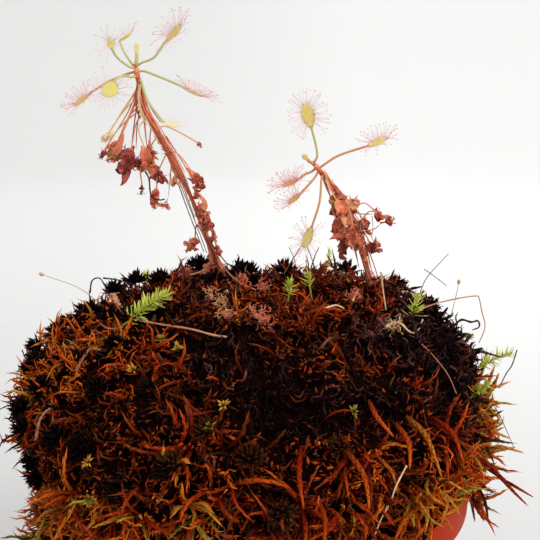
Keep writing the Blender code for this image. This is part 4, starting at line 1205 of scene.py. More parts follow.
@dataclass
class MossCushion:
    """The cushion's visible growth: dark depths, crumb, strands, branches, star heads and dried leaves."""

    shape: Cushion
    sight: Sight
    clear: list
    spots: int = 25500
    caps: tuple = (17500, 2900, 6200, 1700, 1000)
    fallback: tuple = (0.01, 0.01, 0.0, 0.0, 0.0)
    arms: tuple = (3, 6)
    branches_in_piece: int = 1250
    hem_spots: int = 9000
    hem_width: float = 34.0
    hem_top: float = 106.0
    most_stars: int = 84
    star_gap: float = 13.0
    star_shade: float = 0.01
    star_pixels: tuple = (
        (153, 276), (108, 290), (85, 311), (62, 311), (40, 327), (34, 349), (11, 370), (8, 384), (47, 390),
        (112, 321), (131, 317), (156, 312), (115, 348), (80, 359), (95, 385), (146, 385), (23, 410),
        (28, 430), (55, 438), (42, 475), (115, 490), (166, 471), (80, 449), (195, 268), (216, 281),
        (70, 300), (22, 360), (36, 460), (180, 262),
    )
    ruddy_stars: tuple = (
        (251, 457, 0.12), (281, 513, 0.12), (205, 430, 0.11), (341, 446, 0.17), (173, 466, 0.13),
    )
    tangles: tuple = (
        (186, 276, 0.5), (262, 290, 0.52), (225, 318, 0.62), (268, 324, 0.5), (222, 304, 0.8),
        (211, 297, 0.72), (378, 284, 0.45), (397, 276, 0.5), (434, 293, 0.52), (352, 300, 0.5),
        (215, 268, 0.4), (392, 328, 0.86), (360, 262, 0.25), (385, 262, 0.3), (404, 292, 0.6),
        (412, 298, 0.66), (252, 316, 0.56), (262, 322, 0.6), (243, 283, 0.5),
    )

    def build(self) -> None:
        """Make every moss piece."""
        self.depths()
        self.surface()
        self.star_layer()
        self.tangle_layer()

    def patch_of(self, spot: Vector, rng: random.Random) -> Patch:
        """Patch that one spot of the skin belongs to; the far side mirrors the near one.

        Args:
            spot: The spot in millimetres.
            rng: Source of the draw where patches meet.

        Returns:
            The patch.
        """
        u, v = self.sight.pixel(Vector((spot.x, -abs(spot.y), spot.z)))
        u += 26.0 * noise.noise(spot / 15.0)
        v += 20.0 * noise.noise(spot / 13.0 + Vector((5.0, 3.0, 1.0)))
        weights = [math.exp(-2.0 * ((u - p.u) / p.reach_u) ** 2 - 2.0 * ((v - p.v) / p.reach_v) ** 2) + 1e-7
                   for p in PATCHES]
        return rng.choices(PATCHES, weights=weights)[0]

    def is_clear(self, place: Vector) -> bool:
        """Whether a spot is outside the gaps kept round standing stems."""
        return all((place - Vector(spot)).length > reach for spot, reach in self.clear)

    def depths(self) -> None:
        """Dark inner body of the cushion with its plug in the pot; its near-black colour is partly the real
        dark moss inside and partly painted shade between the shoots.
        """
        shape = self.shape
        levels, turns = 56, 200
        line = smooth_path([(r, 0.0, z) for r, z in shape.profile], levels)
        rows = []
        for i in range(levels):
            fade = min(1.0, (levels - i) / 8.0)
            for k in range(turns):
                point = Vector(shape.skin(line[i][0], line[i][2], math.tau * k / turns))
                deep, _ = shape.relief(point)
                rough = 1.6 * noise.fractal(point / 3.4, 1.0, 2.0, 3)
                sunk = point - shape.outward(point) * (2.6 + deep - rough) * fade
                rows.append(tuple(shape.keep_off_rim(sunk)))
        cuff, plug = shape.cuff_radius + 0.3, shape.plug_radius - 0.2
        for radius, z in ((cuff, None), (cuff, shape.seat_z + 0.2), (plug, shape.seat_z + 0.2),
                          (plug, shape.plug_z + 0.2)):
            for k in range(turns):
                turn = math.tau * k / turns
                height = shape.lip(turn) + 1.6 if z is None else z
                rows.append((radius * math.cos(turn), radius * math.sin(turn), height))
        rings = levels + 4
        faces = bands(rings, turns)
        top = len(rows)
        rows.append(tuple(np.mean(rows[:turns], axis=0)))
        faces += [(top, k, (k + 1) % turns) for k in range(turns)]
        faces.append(tuple((rings - 1) * turns + k for k in reversed(range(turns))))
        draft = MeshDraft()
        draft.add(np.array(rows), faces, 0.35, 0.0)
        settle(draft.to_object("moss_depths", Palette.CORE.build()), "bog_moss", "moss_mound")

    def lean(self, normal: Vector, rng: random.Random, out: float, down: float, wild: float) -> Vector:
        """Way in which a shoot leaves the skin.

        Args:
            normal: Way out of the skin.
            rng: Source of the draw.
            out: Share of that way.
            down: Share of the way down along the skin.
            wild: Share of a drawn way.

        Returns:
            The direction.
        """
        fall = Vector((0.0, 0.0, -1.0))
        fall -= normal * fall.dot(normal)
        return (normal * out + fall * down + random_unit(rng) * wild).normalized()

    def surface(self) -> None:
        """Growth over the whole skin, patch by patch."""
        rng = random.Random(7)
        layers = [Growth() for _ in self.caps]
        for skin, way in self.shape.sample(self.spots, 11):
            if not self.is_clear(skin):
                continue
            patch = self.patch_of(skin, rng)
            deep, crevice_and_painted_shade = self.shape.relief(skin)
            weights = [(share + spare) * (len(grown.places) < cap)
                       for share, spare, grown, cap in zip(patch.mix, self.fallback, layers, self.caps)]
            if not any(weights):
                continue
            sort = rng.choices(range(len(HABITS)), weights=weights)[0]
            layer, habit = layers[sort], HABITS[sort]
            # Painted shade: tints are darkened by up to 55 % in crevices, where shade falls.
            tint = share_of_one(rng.gauss(patch.tint, patch.spread) * (1.0 - 0.55 * crevice_and_painted_shade))
            dried = tint * 1.8 + (0.4 if rng.random() < 0.07 else 0.0)
            dried = min(dried, 1.0 if rng.random() < 0.03 else 0.7)
            place = self.shape.keep_off_rim(skin - way * (deep + rng.uniform(0.0, 2.2)))
            roll = rng.uniform(0.0, math.tau)
            if habit.shoot is not Shoots.branch:
                layer.plant(place + way * habit.lift, self.lean(way, rng, *habit.lean), roll,
                            rng.uniform(*habit.sizes), dried if habit.finish is Palette.DRIED else tint,
                            rng.randrange(habit.kinds))
            elif not self.fan(layer, habit, place, way, tint, rng):
                for _ in range(3):
                    layers[0].plant(place + random_unit(rng) * 2.0, self.lean(way, rng, 0.5, 0.6, 0.8), roll,
                                    rng.uniform(0.9, 1.7), tint * rng.uniform(0.6, 1.0), rng.randrange(5))
        self.hem(layers[0], layers[1], rng)
        make = random.Random(3)
        for habit, layer in zip(HABITS, layers):
            shoots = [habit.shoot(make) for _ in range(habit.kinds)]
            most = self.branches_in_piece if habit.shoot is Shoots.branch else self.spots * 2
            for part, share in enumerate(self.share_out(layer, most)):
                label = habit.name if part == 0 else f"{habit.name}_{part + 1}"
                settle(grow(label, share, shoots, habit.finish), "bog_moss")

    def hem(self, crumb: Growth, fine: Growth, rng: random.Random) -> None:
        """Extra growth on the clump that hangs down at the left.

        Args:
            crumb: The crumb planted so far.
            fine: The fine strands planted so far.
            rng: Source of the draw.
        """
        for skin, way in self.shape.sample(self.hem_spots, 17):
            if abs(turn_from(skin, self.shape.clump_heading)) > self.hem_width or skin.z > self.hem_top:
                continue
            deep, _ = self.shape.relief(skin)
            place = self.shape.keep_off_rim(skin - way * (deep + 1.6))
            shade = min(1.0, max(0.1, rng.gauss(0.58, 0.16)))
            fine.plant(place, self.lean(way, rng, 0.8, 0.5, 0.7), rng.uniform(0.0, math.tau),
                       rng.uniform(0.8, 1.4), shade, rng.randrange(6))
            crumb.plant(place, self.lean(way, rng, 0.8, 0.5, 0.9), rng.uniform(0.0, math.tau),
                        rng.uniform(1.0, 1.8), shade * 0.7, rng.randrange(5))

    @staticmethod
    def share_out(growth: Growth, most: int) -> list[Growth]:
        """Split a growth into pieces of at most so many shoots."""
        pieces = []
        for start in range(0, len(growth.places), most):
            part = Growth()
            for label in ("places", "turns", "sizes", "tints", "kinds"):
                setattr(part, label, getattr(growth, label)[start:start + most])
            pieces.append(part)
        return pieces

    def fan(self, layer: Growth, habit: Habit, place: Vector, way: Vector, tint: float,
            rng: random.Random) -> bool:
        """Plant a few long branches that spread from one root.

        Args:
            layer: Where they are added.
            habit: How they grow.
            place: Their root.
            way: Way out of the skin.
            tint: Their shade.
            rng: Source of the draw.

        Returns:
            Whether there was room for them.
        """
        over_rim = abs(turn_from(place, 322.0)) < 24.0 and place.z < 119.0
        shape = self.shape
        from_clump = turn_from(place, shape.clump_heading)
        in_hollow = bell(from_clump, shape.clump_width) * bell(place.z - 102.0, 12.0)
        if rng.random() < (0.6 if over_rim else 0.7 * in_hollow):
            return False
        count = rng.randint(*self.arms)
        side = way.orthogonal().normalized()
        first = rng.uniform(0.0, math.tau)
        for k in range(count):
            turn = first + math.tau * k / count + rng.uniform(-0.3, 0.3)
            out = side * math.cos(turn) + way.cross(side) * math.sin(turn)
            fall = 0.35 if over_rim else -0.45
            low, high, side_share = habit.lean
            aim = (way * rng.uniform(low, high) + out * side_share + Vector((0.0, 0.0, fall))).normalized()
            layer.plant(place + way * habit.lift, aim, rng.uniform(0.0, math.tau),
                        rng.uniform(*habit.sizes) * (1.0 - 0.5 * in_hollow),
                        share_of_one(tint + rng.uniform(-0.17, 0.13)), rng.randrange(habit.kinds))
        return True

    def star_layer(self) -> None:
        """Dark star heads along the left and top, and some all round."""
        rng = random.Random(29)
        growth = Growth()
        shape, sight = self.shape, self.sight
        seats = [(*shape.under_pixel(sight, *pixel), self.star_shade) for pixel in self.star_pixels]
        seats += [(*shape.under_pixel(sight, u, v), shade) for u, v, shade in self.ruddy_stars]
        for place, way in shape.sample(500, 31):
            if place.y < 10.0 or len(seats) > self.most_stars:
                continue
            apart = all((place - other).length > self.star_gap for other, _, _ in seats)
            if apart and self.is_clear(place):
                seats.append((place, way, self.star_shade))
        for place, way, shade in seats:
            deep, _ = self.shape.relief(place)
            out = (way + Vector((0.0, 0.0, 0.2)) + random_unit(rng) * 0.3).normalized()
            growth.plant(place + way * (1.4 - 0.6 * deep), out, rng.uniform(0.0, math.tau),
                         rng.uniform(0.85, 1.2), max(0.0, rng.gauss(shade, 0.012)), rng.randrange(4))
        make = random.Random(9)
        heads = [Shoots.star(make) for _ in range(4)]
        settle(grow("moss_star_heads", growth, heads, Palette.MOSS), "bog_moss")

    def tangle_layer(self) -> None:
        """Crumpled clumps of fallen leaves, red and tan."""
        rng = random.Random(37)
        growth = Growth()
        for u, v, tint in self.tangles:
            seat, way = self.shape.under_pixel(self.sight, u, v)
            for _ in range(40):
                place = seat + random_unit(rng) * rng.uniform(0.0, 3.0) + way * 1.0
                growth.plant(place, (random_unit(rng) + way * 0.3).normalized(), rng.uniform(0.0, math.tau),
                             rng.uniform(0.16, 0.34), share_of_one(tint + rng.uniform(-0.12, 0.12)),
                             rng.randrange(6))
        make = random.Random(13)
        settle(grow("moss_fallen_leaves", growth, [Shoots.ribbon(make) for _ in range(6)], Palette.WITHERED),
               "bog_moss")


@dataclass(frozen=True)
class LeafSpec:
    """One live leaf: stalk points, blade tip, half width, facing, tentacles and shades."""

    node: str
    slot: str
    stalk: tuple
    tip: tuple
    half: float
    facing: tuple
    tentacles: int
    reach: float
    stalk_tint: float
    blade_tint: float


def numbered(side: str, rows: tuple) -> tuple[LeafSpec, ...]:
    """Specs of one plant's leaves, whose nodes are numbered in their order.

    Args:
        side: Which plant.
        rows: Colour of each leaf's slot and the rest of its spec.

    Returns:
        The specs.
    """
    return tuple(LeafSpec(f"sundew_{side}_leaf_{k}", f"sundew_leaf_{colour}", *rest)
                 for k, (colour, *rest) in enumerate(rows, 1))


def seen(u: float, v: float, y: float) -> tuple[float, float, float]:
    """Point behind a pixel of the photograph at a given depth y, to a tenth of a millimetre."""
    return tuple(round(c, 1) for c in Sight().at(u, v, y))


LEFT_STEM = ((-8.7, 18.3, 142.0), (-12.2, 15.1, 153.0), seen(218, 268, 12.0), seen(197, 212, 6.0),
             seen(168, 150, 2.0), (-37.0, 0.4, 217.0), seen(137, 74, 0.0))
RIGHT_STEM = ((40.5, 13.8, 140.0), (37.8, 11.9, 149.8), seen(371, 282, 10.0), seen(356, 228, 6.0),
              (22.0, 3.0, 191.8), seen(318, 169, 1.0))

LEFT_LEAVES = numbered("left", (
    ("yellow", ((-40.3, 1.0, 230.2), (-42.8, 2.2, 233.8), (-44.2, 2.6, 237.2)),
     (-40.4, 3.4, 239.6), 1.7, (-0.5, 0.1, 0.86), 34, 3.6, 0.75, 0.62),
    ("yellow", ((-40.6, -1.4, 229.4), (-43.9, -3.8, 232.2), (-45.2, -5.2, 234.6)),
     (-45.7, -5.9, 237.9), 1.1, (0.0, -1.0, 0.2), 48, 4.2, 0.7, 0.6),
    ("yellow", ((-38.7, -0.2, 231.9), (-38.6, -0.3, 232.6), (-38.6, -0.4, 233.3)),
     (-38.6, -0.6, 236.6), 0.8, (0.0, -1.0, 0.0), 10, 0.9, 0.85, 0.7),
    ("yellow", ((-37.0, -0.3, 230.8), (-33.3, -0.8, 232.4), (-30.0, -1.0, 236.8)),
     (-25.2, -1.4, 241.6), 1.9, (-0.45, -0.6, 0.6), 90, 5.2, 0.68, 0.55),
    ("red", ((-36.6, 0.6, 228.2), (-30.4, 1.2, 225.8), (-25.9, 1.5, 223.9)),
     (-18.5, 1.8, 220.4), 1.8, (0.35, 0.0, 0.94), 90, 4.6, 0.66, 0.45),
    ("cream", ((-37.3, -1.9, 225.2), (-35.2, -3.4, 219.4), (-31.0, -4.2, 213.6)),
     (-26.2, -4.8, 212.0), 1.6, (0.2, -0.3, 0.93), 36, 2.6, 0.7, 0.95),
    ("yellow", ((-40.2, -1.7, 226.6), (-42.4, -5.0, 227.0), (-44.1, -7.6, 226.0)),
     (-46.9, -9.6, 221.2), 2.5, (-0.25, -0.95, 0.2), 90, 4.4, 0.75, 0.62),
    ("yellow", ((-41.1, 0.3, 227.6), (-47.0, -0.3, 225.3), (-53.1, -1.0, 221.8)),
     (-57.6, -1.6, 218.3), 1.5, (-0.3, -0.5, 0.8), 70, 4.2, 0.4, 0.45),
))
RIGHT_LEAVES = numbered("right", (
    ("yellow", ((16.3, 0.9, 202.4), (15.8, 0.6, 205.8), (14.6, 0.4, 210.4)),
     (12.3, 0.2, 218.4), 2.15, (0.05, -1.0, 0.1), 110, 4.6, 0.6, 0.55),
    ("red", ((18.8, 0.8, 199.9), (23.2, 0.2, 202.7), (31.0, -0.5, 205.4)),
     (37.2, -1.0, 208.2), 1.9, (-0.3, -0.45, 0.84), 80, 4.4, 0.4, 0.6),
    ("yellow", ((14.6, -0.9, 200.5), (13.9, -1.3, 200.9), (13.5, -1.6, 201.3)),
     (11.6, -2.2, 203.2), 0.85, (-0.3, -0.9, 0.2), 10, 0.9, 0.5, 0.4),
    ("red", ((14.5, 1.0, 197.4), (12.6, 1.0, 196.6), (11.2, 0.9, 195.6)),
     (5.8, 0.6, 193.0), 1.8, (-0.35, -0.3, 0.9), 110, 4.8, 0.4, 0.25),
    ("red", ((15.5, -1.4, 195.9), (13.4, -2.4, 193.6), (11.6, -3.0, 191.8)),
     (7.2, -3.8, 188.2), 1.6, (-0.5, -0.4, 0.75), 80, 4.0, 0.4, 0.3),
    ("cream", ((17.6, -1.3, 195.3), (17.0, -3.6, 188.6), (14.9, -4.4, 181.8)),
     (12.0, -4.8, 174.2), 1.7, (-0.5, -0.8, 0.2), 80, 4.2, 0.45, 0.7),
))


@dataclass
class Leaf:
    """Live sundew leaf: stalk and spoon blade in one piece, and its tentacles in another."""

    spec: LeafSpec
    crown: "Stem"
    stalk_radius: float = 0.36
    blade_half: float = 0.28

    def build(self) -> None:
        """Make the blade piece and the tentacle piece."""
        spec = self.spec
        joint, tip = np.array(spec.stalk[-1]), np.array(spec.tip)
        facing = unit(np.array(spec.facing))
        along = tip - joint
        length = float(np.linalg.norm(along))
        gauge = self.stalk_radius * (1.5 if spec.reach < 1.0 else 1.0)
        stalk = smooth_path([self.crown.foot(np.array(spec.stalk[0])), *spec.stalk], 18)
        shares = np.linspace(0.06, 1.0, 16)
        blade = np.array([joint + along * s - facing * 0.06 * length * math.sin(math.pi * s) for s in shares])
        path = np.vstack([stalk, blade])
        swell = np.sin(math.pi * np.clip(shares, 0.0, 1.0) ** 1.35) ** 0.62
        widths = np.concatenate([np.full(18, gauge), np.maximum(gauge, spec.half * swell)])
        widths[-1] = 0.0
        heights = np.concatenate([np.full(18, gauge), np.full(16, self.blade_half)])
        heights[-2] *= 0.7
        points, faces, share = sweep(path, widths, heights, spec.facing, 14, 0.16, 18)
        on_blade = np.clip((share - 0.5) * 6.0, 0.0, 1.0)
        draft = MeshDraft()
        draft.add(points, faces, spec.blade_tint, on_blade * np.clip(share * 1.6 - 0.6, 0.0, 1.0))
        piece = draft.to_object(spec.node + "_blade")
        piece.data.materials.append(Palette.STALK.build())
        piece.data.materials.append(Palette.BLADE.build())
        layer = piece.data.attributes["tint"]
        by_crown = np.clip(1.0 - share / 0.2, 0.0, 1.0)
        values = np.where(on_blade > 0.5, spec.blade_tint, spec.stalk_tint - 0.35 * by_crown)
        layer.data.foreach_set("value", values.astype(np.float32))
        for face in piece.data.polygons:
            if on_blade[face.vertices[0]] > 0.5:
                face.material_index = 1
        settle(piece, spec.slot, spec.node)
        self.tentacles(joint, along, length, facing)

    def tentacles(self, joint: np.ndarray, along: np.ndarray, length: float, facing: np.ndarray) -> None:
        """Set the tentacles round the blade's rim and over its face.

        Args:
            joint: Where the blade begins.
            along: From there to its tip.
            length: Length of the blade.
            facing: Way that its upper side faces.
        """
        spec = self.spec
        rng = random.Random(spec.node)
        ahead = Vector(along / length)
        side = ahead.cross(Vector(facing)).normalized()
        up = side.cross(ahead).normalized()
        if up.dot(Vector(facing)) < 0.0:
            up.negate()
        growth = Growth()
        rim = spec.tentacles * 3 // 5
        for i in range(spec.tentacles):
            on_rim = i < rim
            if on_rim:
                turn = math.radians(-158.0 + 316.0 * (i + 0.5) / rim) + rng.uniform(-0.08, 0.08)
                place = 1.0
            else:
                turn = i * GOLDEN_TURN
                place = math.sqrt((i - rim + 0.5) / (spec.tentacles - rim)) * 0.9
            centre = Vector(joint) + ahead * length * 0.6
            out = ahead * math.cos(turn) + side * math.sin(turn)
            edge = ahead * math.cos(turn) * length * 0.38 + side * math.sin(turn) * spec.half * 0.9
            root = centre + edge * place
            rise = rng.uniform(0.1, 0.7) if on_rim else rng.uniform(0.9, 1.8) / (0.35 + place)
            spread = 1.0 if on_rim else place
            aim = (out * spread + up * rise + random_unit(rng) * 0.16).normalized()
            size = spec.reach / 4.0 * rng.uniform(0.8, 1.15) * (1.0 if on_rim else 0.62)
            tint = share_of_one(rng.gauss(1.0 - spec.stalk_tint - 0.1, 0.22))
            growth.plant(root, aim, rng.uniform(0.0, math.tau), size, tint, rng.randrange(3))
        make = random.Random(17)
        shoots = [self.tentacle(make) for _ in range(3)]
        settle(grow(spec.node + "_tentacles", growth, shoots, Palette.TENTACLE), spec.slot)

    @staticmethod
    def tentacle(rng: random.Random) -> MeshDraft:
        """Hair-thin stalk with its gland and the drop of glue round it."""
        bend = rng.uniform(0.1, 0.5)
        path = smooth_path([(0.0, 0.0, -0.2), (0.0, 0.0, 1.6), (0.0, bend * 0.6, 3.0),
                            (0.0, bend * 1.6, 4.0)], 5)
        radii = np.array([0.07, 0.05, 0.04, 0.035, 0.035])
        draft = MeshDraft().tube(path, radii, radii, (1.0, 0.0, 0.0), 3)
        head = path[-1]
        drop = np.array([head + (0.0, 0.0, z) for z in (-0.22, -0.06, 0.1, 0.24)])
        size = np.array([0.03, 0.13, 0.12, 0.0])
        points, faces, _ = sweep(drop, size, size, (1.0, 0.0, 0.0), 5)
        draft.add(points, faces, 0.0, 1.0)
        return draft


LEFT_WITHERED = (
    (0.90, (-43.6, 1.6, 216.0), (-48.4, 1.2, 209.4), 3.0, 1.1, 0.9),
    (0.86, (-42.4, 4.0, 214.0), (-46.0, 4.4, 206.6), 5.6, 1.7, 0.62),
    (0.84, (-45.2, 3.4, 211.0), (-50.4, 2.8, 203.8), 2.4, 0.6, 0.2),
    (0.82, (-40.0, 3.0, 212.0), (-41.6, 2.0, 204.6), 7.0, 2.2, 0.25),
    (0.80, (-38.6, -1.4, 211.0), (-37.0, -2.4, 205.6), 7.6, 1.9, 0.5),
    (0.77, (-36.0, 4.2, 207.0), (-35.2, 5.0, 200.0), 4.8, 1.3, 0.35),
    (0.73, (-38.4, 1.0, 200.0), (-38.4, 0.0, 193.6), 2.6, 0.5, 0.1),
    (0.66, (-33.6, 3.2, 197.0), (-34.2, 2.6, 192.0), 5.4, 1.3, 0.4),
    (0.74, (-30.0, 0.6, 211.4), (-20.6, -0.4, 206.6), 1.6, 0.5, 0.35),
    (0.66, (-26.6, 0.8, 202.6), (-22.6, -0.2, 197.2), 4.6, 1.6, 0.35),
    (0.46, (-21.0, 5.6, 186.6), (-19.4, 4.6, 183.2), 3.6, 1.2, 0.3),
    (0.34, (-21.6, 7.8, 178.8), (-22.8, 7.4, 175.2), 3.4, 1.1, 0.4),
    (0.28, (-16.8, 9.0, 175.8), (-15.9, 8.4, 172.4), 3.0, 1.0, 0.45),
)
RIGHT_WITHERED = (
    (0.88, (20.4, 0.2, 192.0), (22.6, -0.6, 188.4), 6.4, 1.9, 0.55),
    (0.84, (22.6, 5.4, 189.0), (25.8, 6.6, 186.0), 6.8, 2.0, 0.52),
    (0.80, (21.0, 0.4, 186.8), (22.2, -0.2, 182.8), 5.6, 1.7, 0.4),
    (0.74, (26.8, 2.0, 184.0), (27.8, 1.2, 180.0), 6.0, 1.8, 0.45),
    (0.72, (29.0, 5.0, 185.0), (31.2, 5.4, 181.6), 3.4, 1.2, 0.35),
    (0.66, (31.4, 4.0, 187.0), (35.4, 3.6, 184.0), 2.6, 1.0, 0.3),
    (0.60, (33.6, 7.0, 183.6), (38.8, 7.2, 182.0), 3.0, 0.9, 0.35),
    (0.58, (26.0, 5.0, 178.0), (25.4, 4.4, 175.0), 4.0, 1.4, 0.3),
    (0.46, (32.2, 7.6, 176.0), (34.0, 7.4, 173.6), 3.4, 1.3, 0.25),
)


LEFT_RAGS = (
    (125, 152, 3.0, 1.5, 0.34), (131, 160, 2.0, 1.9, 0.34), (139, 164, 1.0, 1.7, 0.3),
    (144, 158, 0.0, 1.5, 0.46), (151, 154, -1.0, 1.5, 0.44), (116, 148, 3.0, 1.5, 0.56),
    (104, 153, 3.0, 0.9, 0.25), (156, 172, 2.0, 1.4, 0.36), (162, 179, 2.0, 1.3, 0.3),
    (174, 182, 1.0, 1.2, 0.66), (197, 180, 0.0, 1.2, 0.56), (196, 196, 3.0, 1.0, 0.45),
    (200, 208, 4.0, 1.5, 0.46), (203, 216, 5.0, 1.7, 0.48), (207, 226, 5.5, 1.4, 0.42),
    (213, 238, 7.0, 1.0, 0.36), (189, 245, 8.0, 1.5, 0.6), (166, 206, 1.0, 1.0, 0.5),
    (212, 256, 11.0, 1.2, 0.55), (214, 264, 12.0, 1.7, 0.52), (218, 271, 12.0, 2.0, 0.5),
    (208, 270, 12.0, 1.8, 0.55), (160, 140, 2.0, 0.9, 0.5), (168, 152, 2.0, 0.8, 0.42),
)
RIGHT_RAGS = (
    (337, 200, 1.0, 2.1, 0.6), (345, 206, 2.0, 2.2, 0.48), (354, 202, 5.0, 1.9, 0.56),
    (340, 213, 1.0, 2.1, 0.4), (349, 219, 3.0, 2.1, 0.5), (346, 231, 2.0, 1.9, 0.44),
    (353, 238, 3.0, 2.0, 0.4), (364, 221, 4.0, 1.2, 0.56), (377, 212, 5.0, 1.0, 0.45),
    (376, 245, 6.0, 1.4, 0.4), (390, 222, 7.0, 1.0, 0.45), (362, 232, 4.0, 0.9, 0.42),
    (364, 252, 8.0, 1.9, 0.55), (358, 244, 6.0, 1.4, 0.5),
)


LEFT_STRANDS = (
    (((139, 84), (134, 94), (122, 112), (110, 132)), 1.0, 0.34, 0.72),
    (((139, 84), (136, 100), (126, 124), (119, 141)), 1.5, 0.48, 0.64),
    (((140, 86), (137, 104), (134, 126), (131, 150)), 2.0, 0.24, 0.2),
    (((141, 86), (140, 106), (137, 128), (136, 150)), 2.5, 0.24, 0.14),
    (((141, 86), (143, 106), (145, 128), (147, 148)), 0.5, 0.34, 0.52),
    (((140, 84), (139, 98), (141, 112), (147, 126)), -0.8, 0.5, 0.95),
    (((138, 84), (136, 96), (137, 110), (141, 120)), -0.6, 0.42, 0.3),
    (((142, 84), (144, 98), (147, 112), (154, 126)), -0.6, 0.42, 0.44),
    (((142, 92), (150, 112), (158, 132), (164, 152)), 1.0, 0.3, 0.66),
    (((158, 130), (167, 150), (171, 166), (168, 200)), 2.0, 0.24, 0.5),
    (((166, 136), (180, 158), (193, 178)), 1.0, 0.26, 0.52),
    (((138, 88), (128, 112), (116, 132), (105, 150)), 2.6, 0.22, 0.45),
    (((123, 134), (120, 144), (114, 155)), 0.4, 0.4, 0.54, 3.8),
    (((149, 140), (150, 150), (152, 165)), -1.2, 0.35, 0.6, 3.6),
    (((134, 146), (130, 154), (127, 165)), 0.6, 0.4, 0.3, 3.4),
    (((142, 146), (143, 156), (141, 168)), 0.2, 0.4, 0.66, 3.2),
    (((113, 131), (109, 136), (101, 139)), 0.2, 0.36, 1.0, 3.2),
    (((186, 168), (192, 174), (200, 182)), -0.8, 0.26, 0.52, 6.5),
    (((171, 168), (176, 176), (172, 186)), 0.0, 0.3, 0.82, 2.4),
    (((196, 192), (203, 200), (206, 210)), 1.0, 0.3, 0.62, 3.6),
    (((201, 206), (207, 216), (208, 226)), 1.0, 0.3, 0.5, 3.8),
    (((206, 222), (212, 230), (214, 240)), 1.0, 0.3, 0.4, 3.2),
)
RIGHT_STRANDS = (
    (((322, 172), (325, 184), (331, 198)), 0.6, 0.36, 0.62),
    (((324, 172), (329, 184), (336, 196)), -0.4, 0.42, 0.68),
    (((325, 172), (334, 186), (343, 199)), -0.2, 0.38, 0.64),
    (((330, 182), (339, 192), (347, 202)), 1.0, 0.3, 0.8),
    (((352, 212), (362, 214), (374, 214)), 1.0, 0.2, 0.2),
    (((356, 225), (366, 230), (374, 229), (382, 223)), 2.0, 0.2, 0.12),
    (((372, 216), (373, 226), (372, 238)), 2.5, 0.13, 0.2),
    (((358, 232), (363, 239), (370, 246)), 2.0, 0.24, 0.4),
    (((352, 240), (346, 250), (339, 262)), 0.5, 0.3, 0.66),
    (((380, 223), (388, 222), (397, 224)), 3.0, 0.3, 0.42),
    (((333, 196), (334, 204), (331, 215)), -0.6, 0.4, 0.8, 3.6),
    (((342, 197), (348, 204), (357, 208)), -0.4, 0.4, 0.76, 3.4),
    (((338, 202), (342, 212), (344, 224)), -1.4, 0.4, 0.5, 4.2),
    (((347, 208), (350, 218), (349, 230)), -1.0, 0.4, 0.9, 3.0),
    (((345, 225), (345, 234), (348, 244)), -0.6, 0.4, 0.56, 4.0),
    (((354, 232), (357, 240), (355, 252)), 0.4, 0.4, 0.66, 3.4),
)


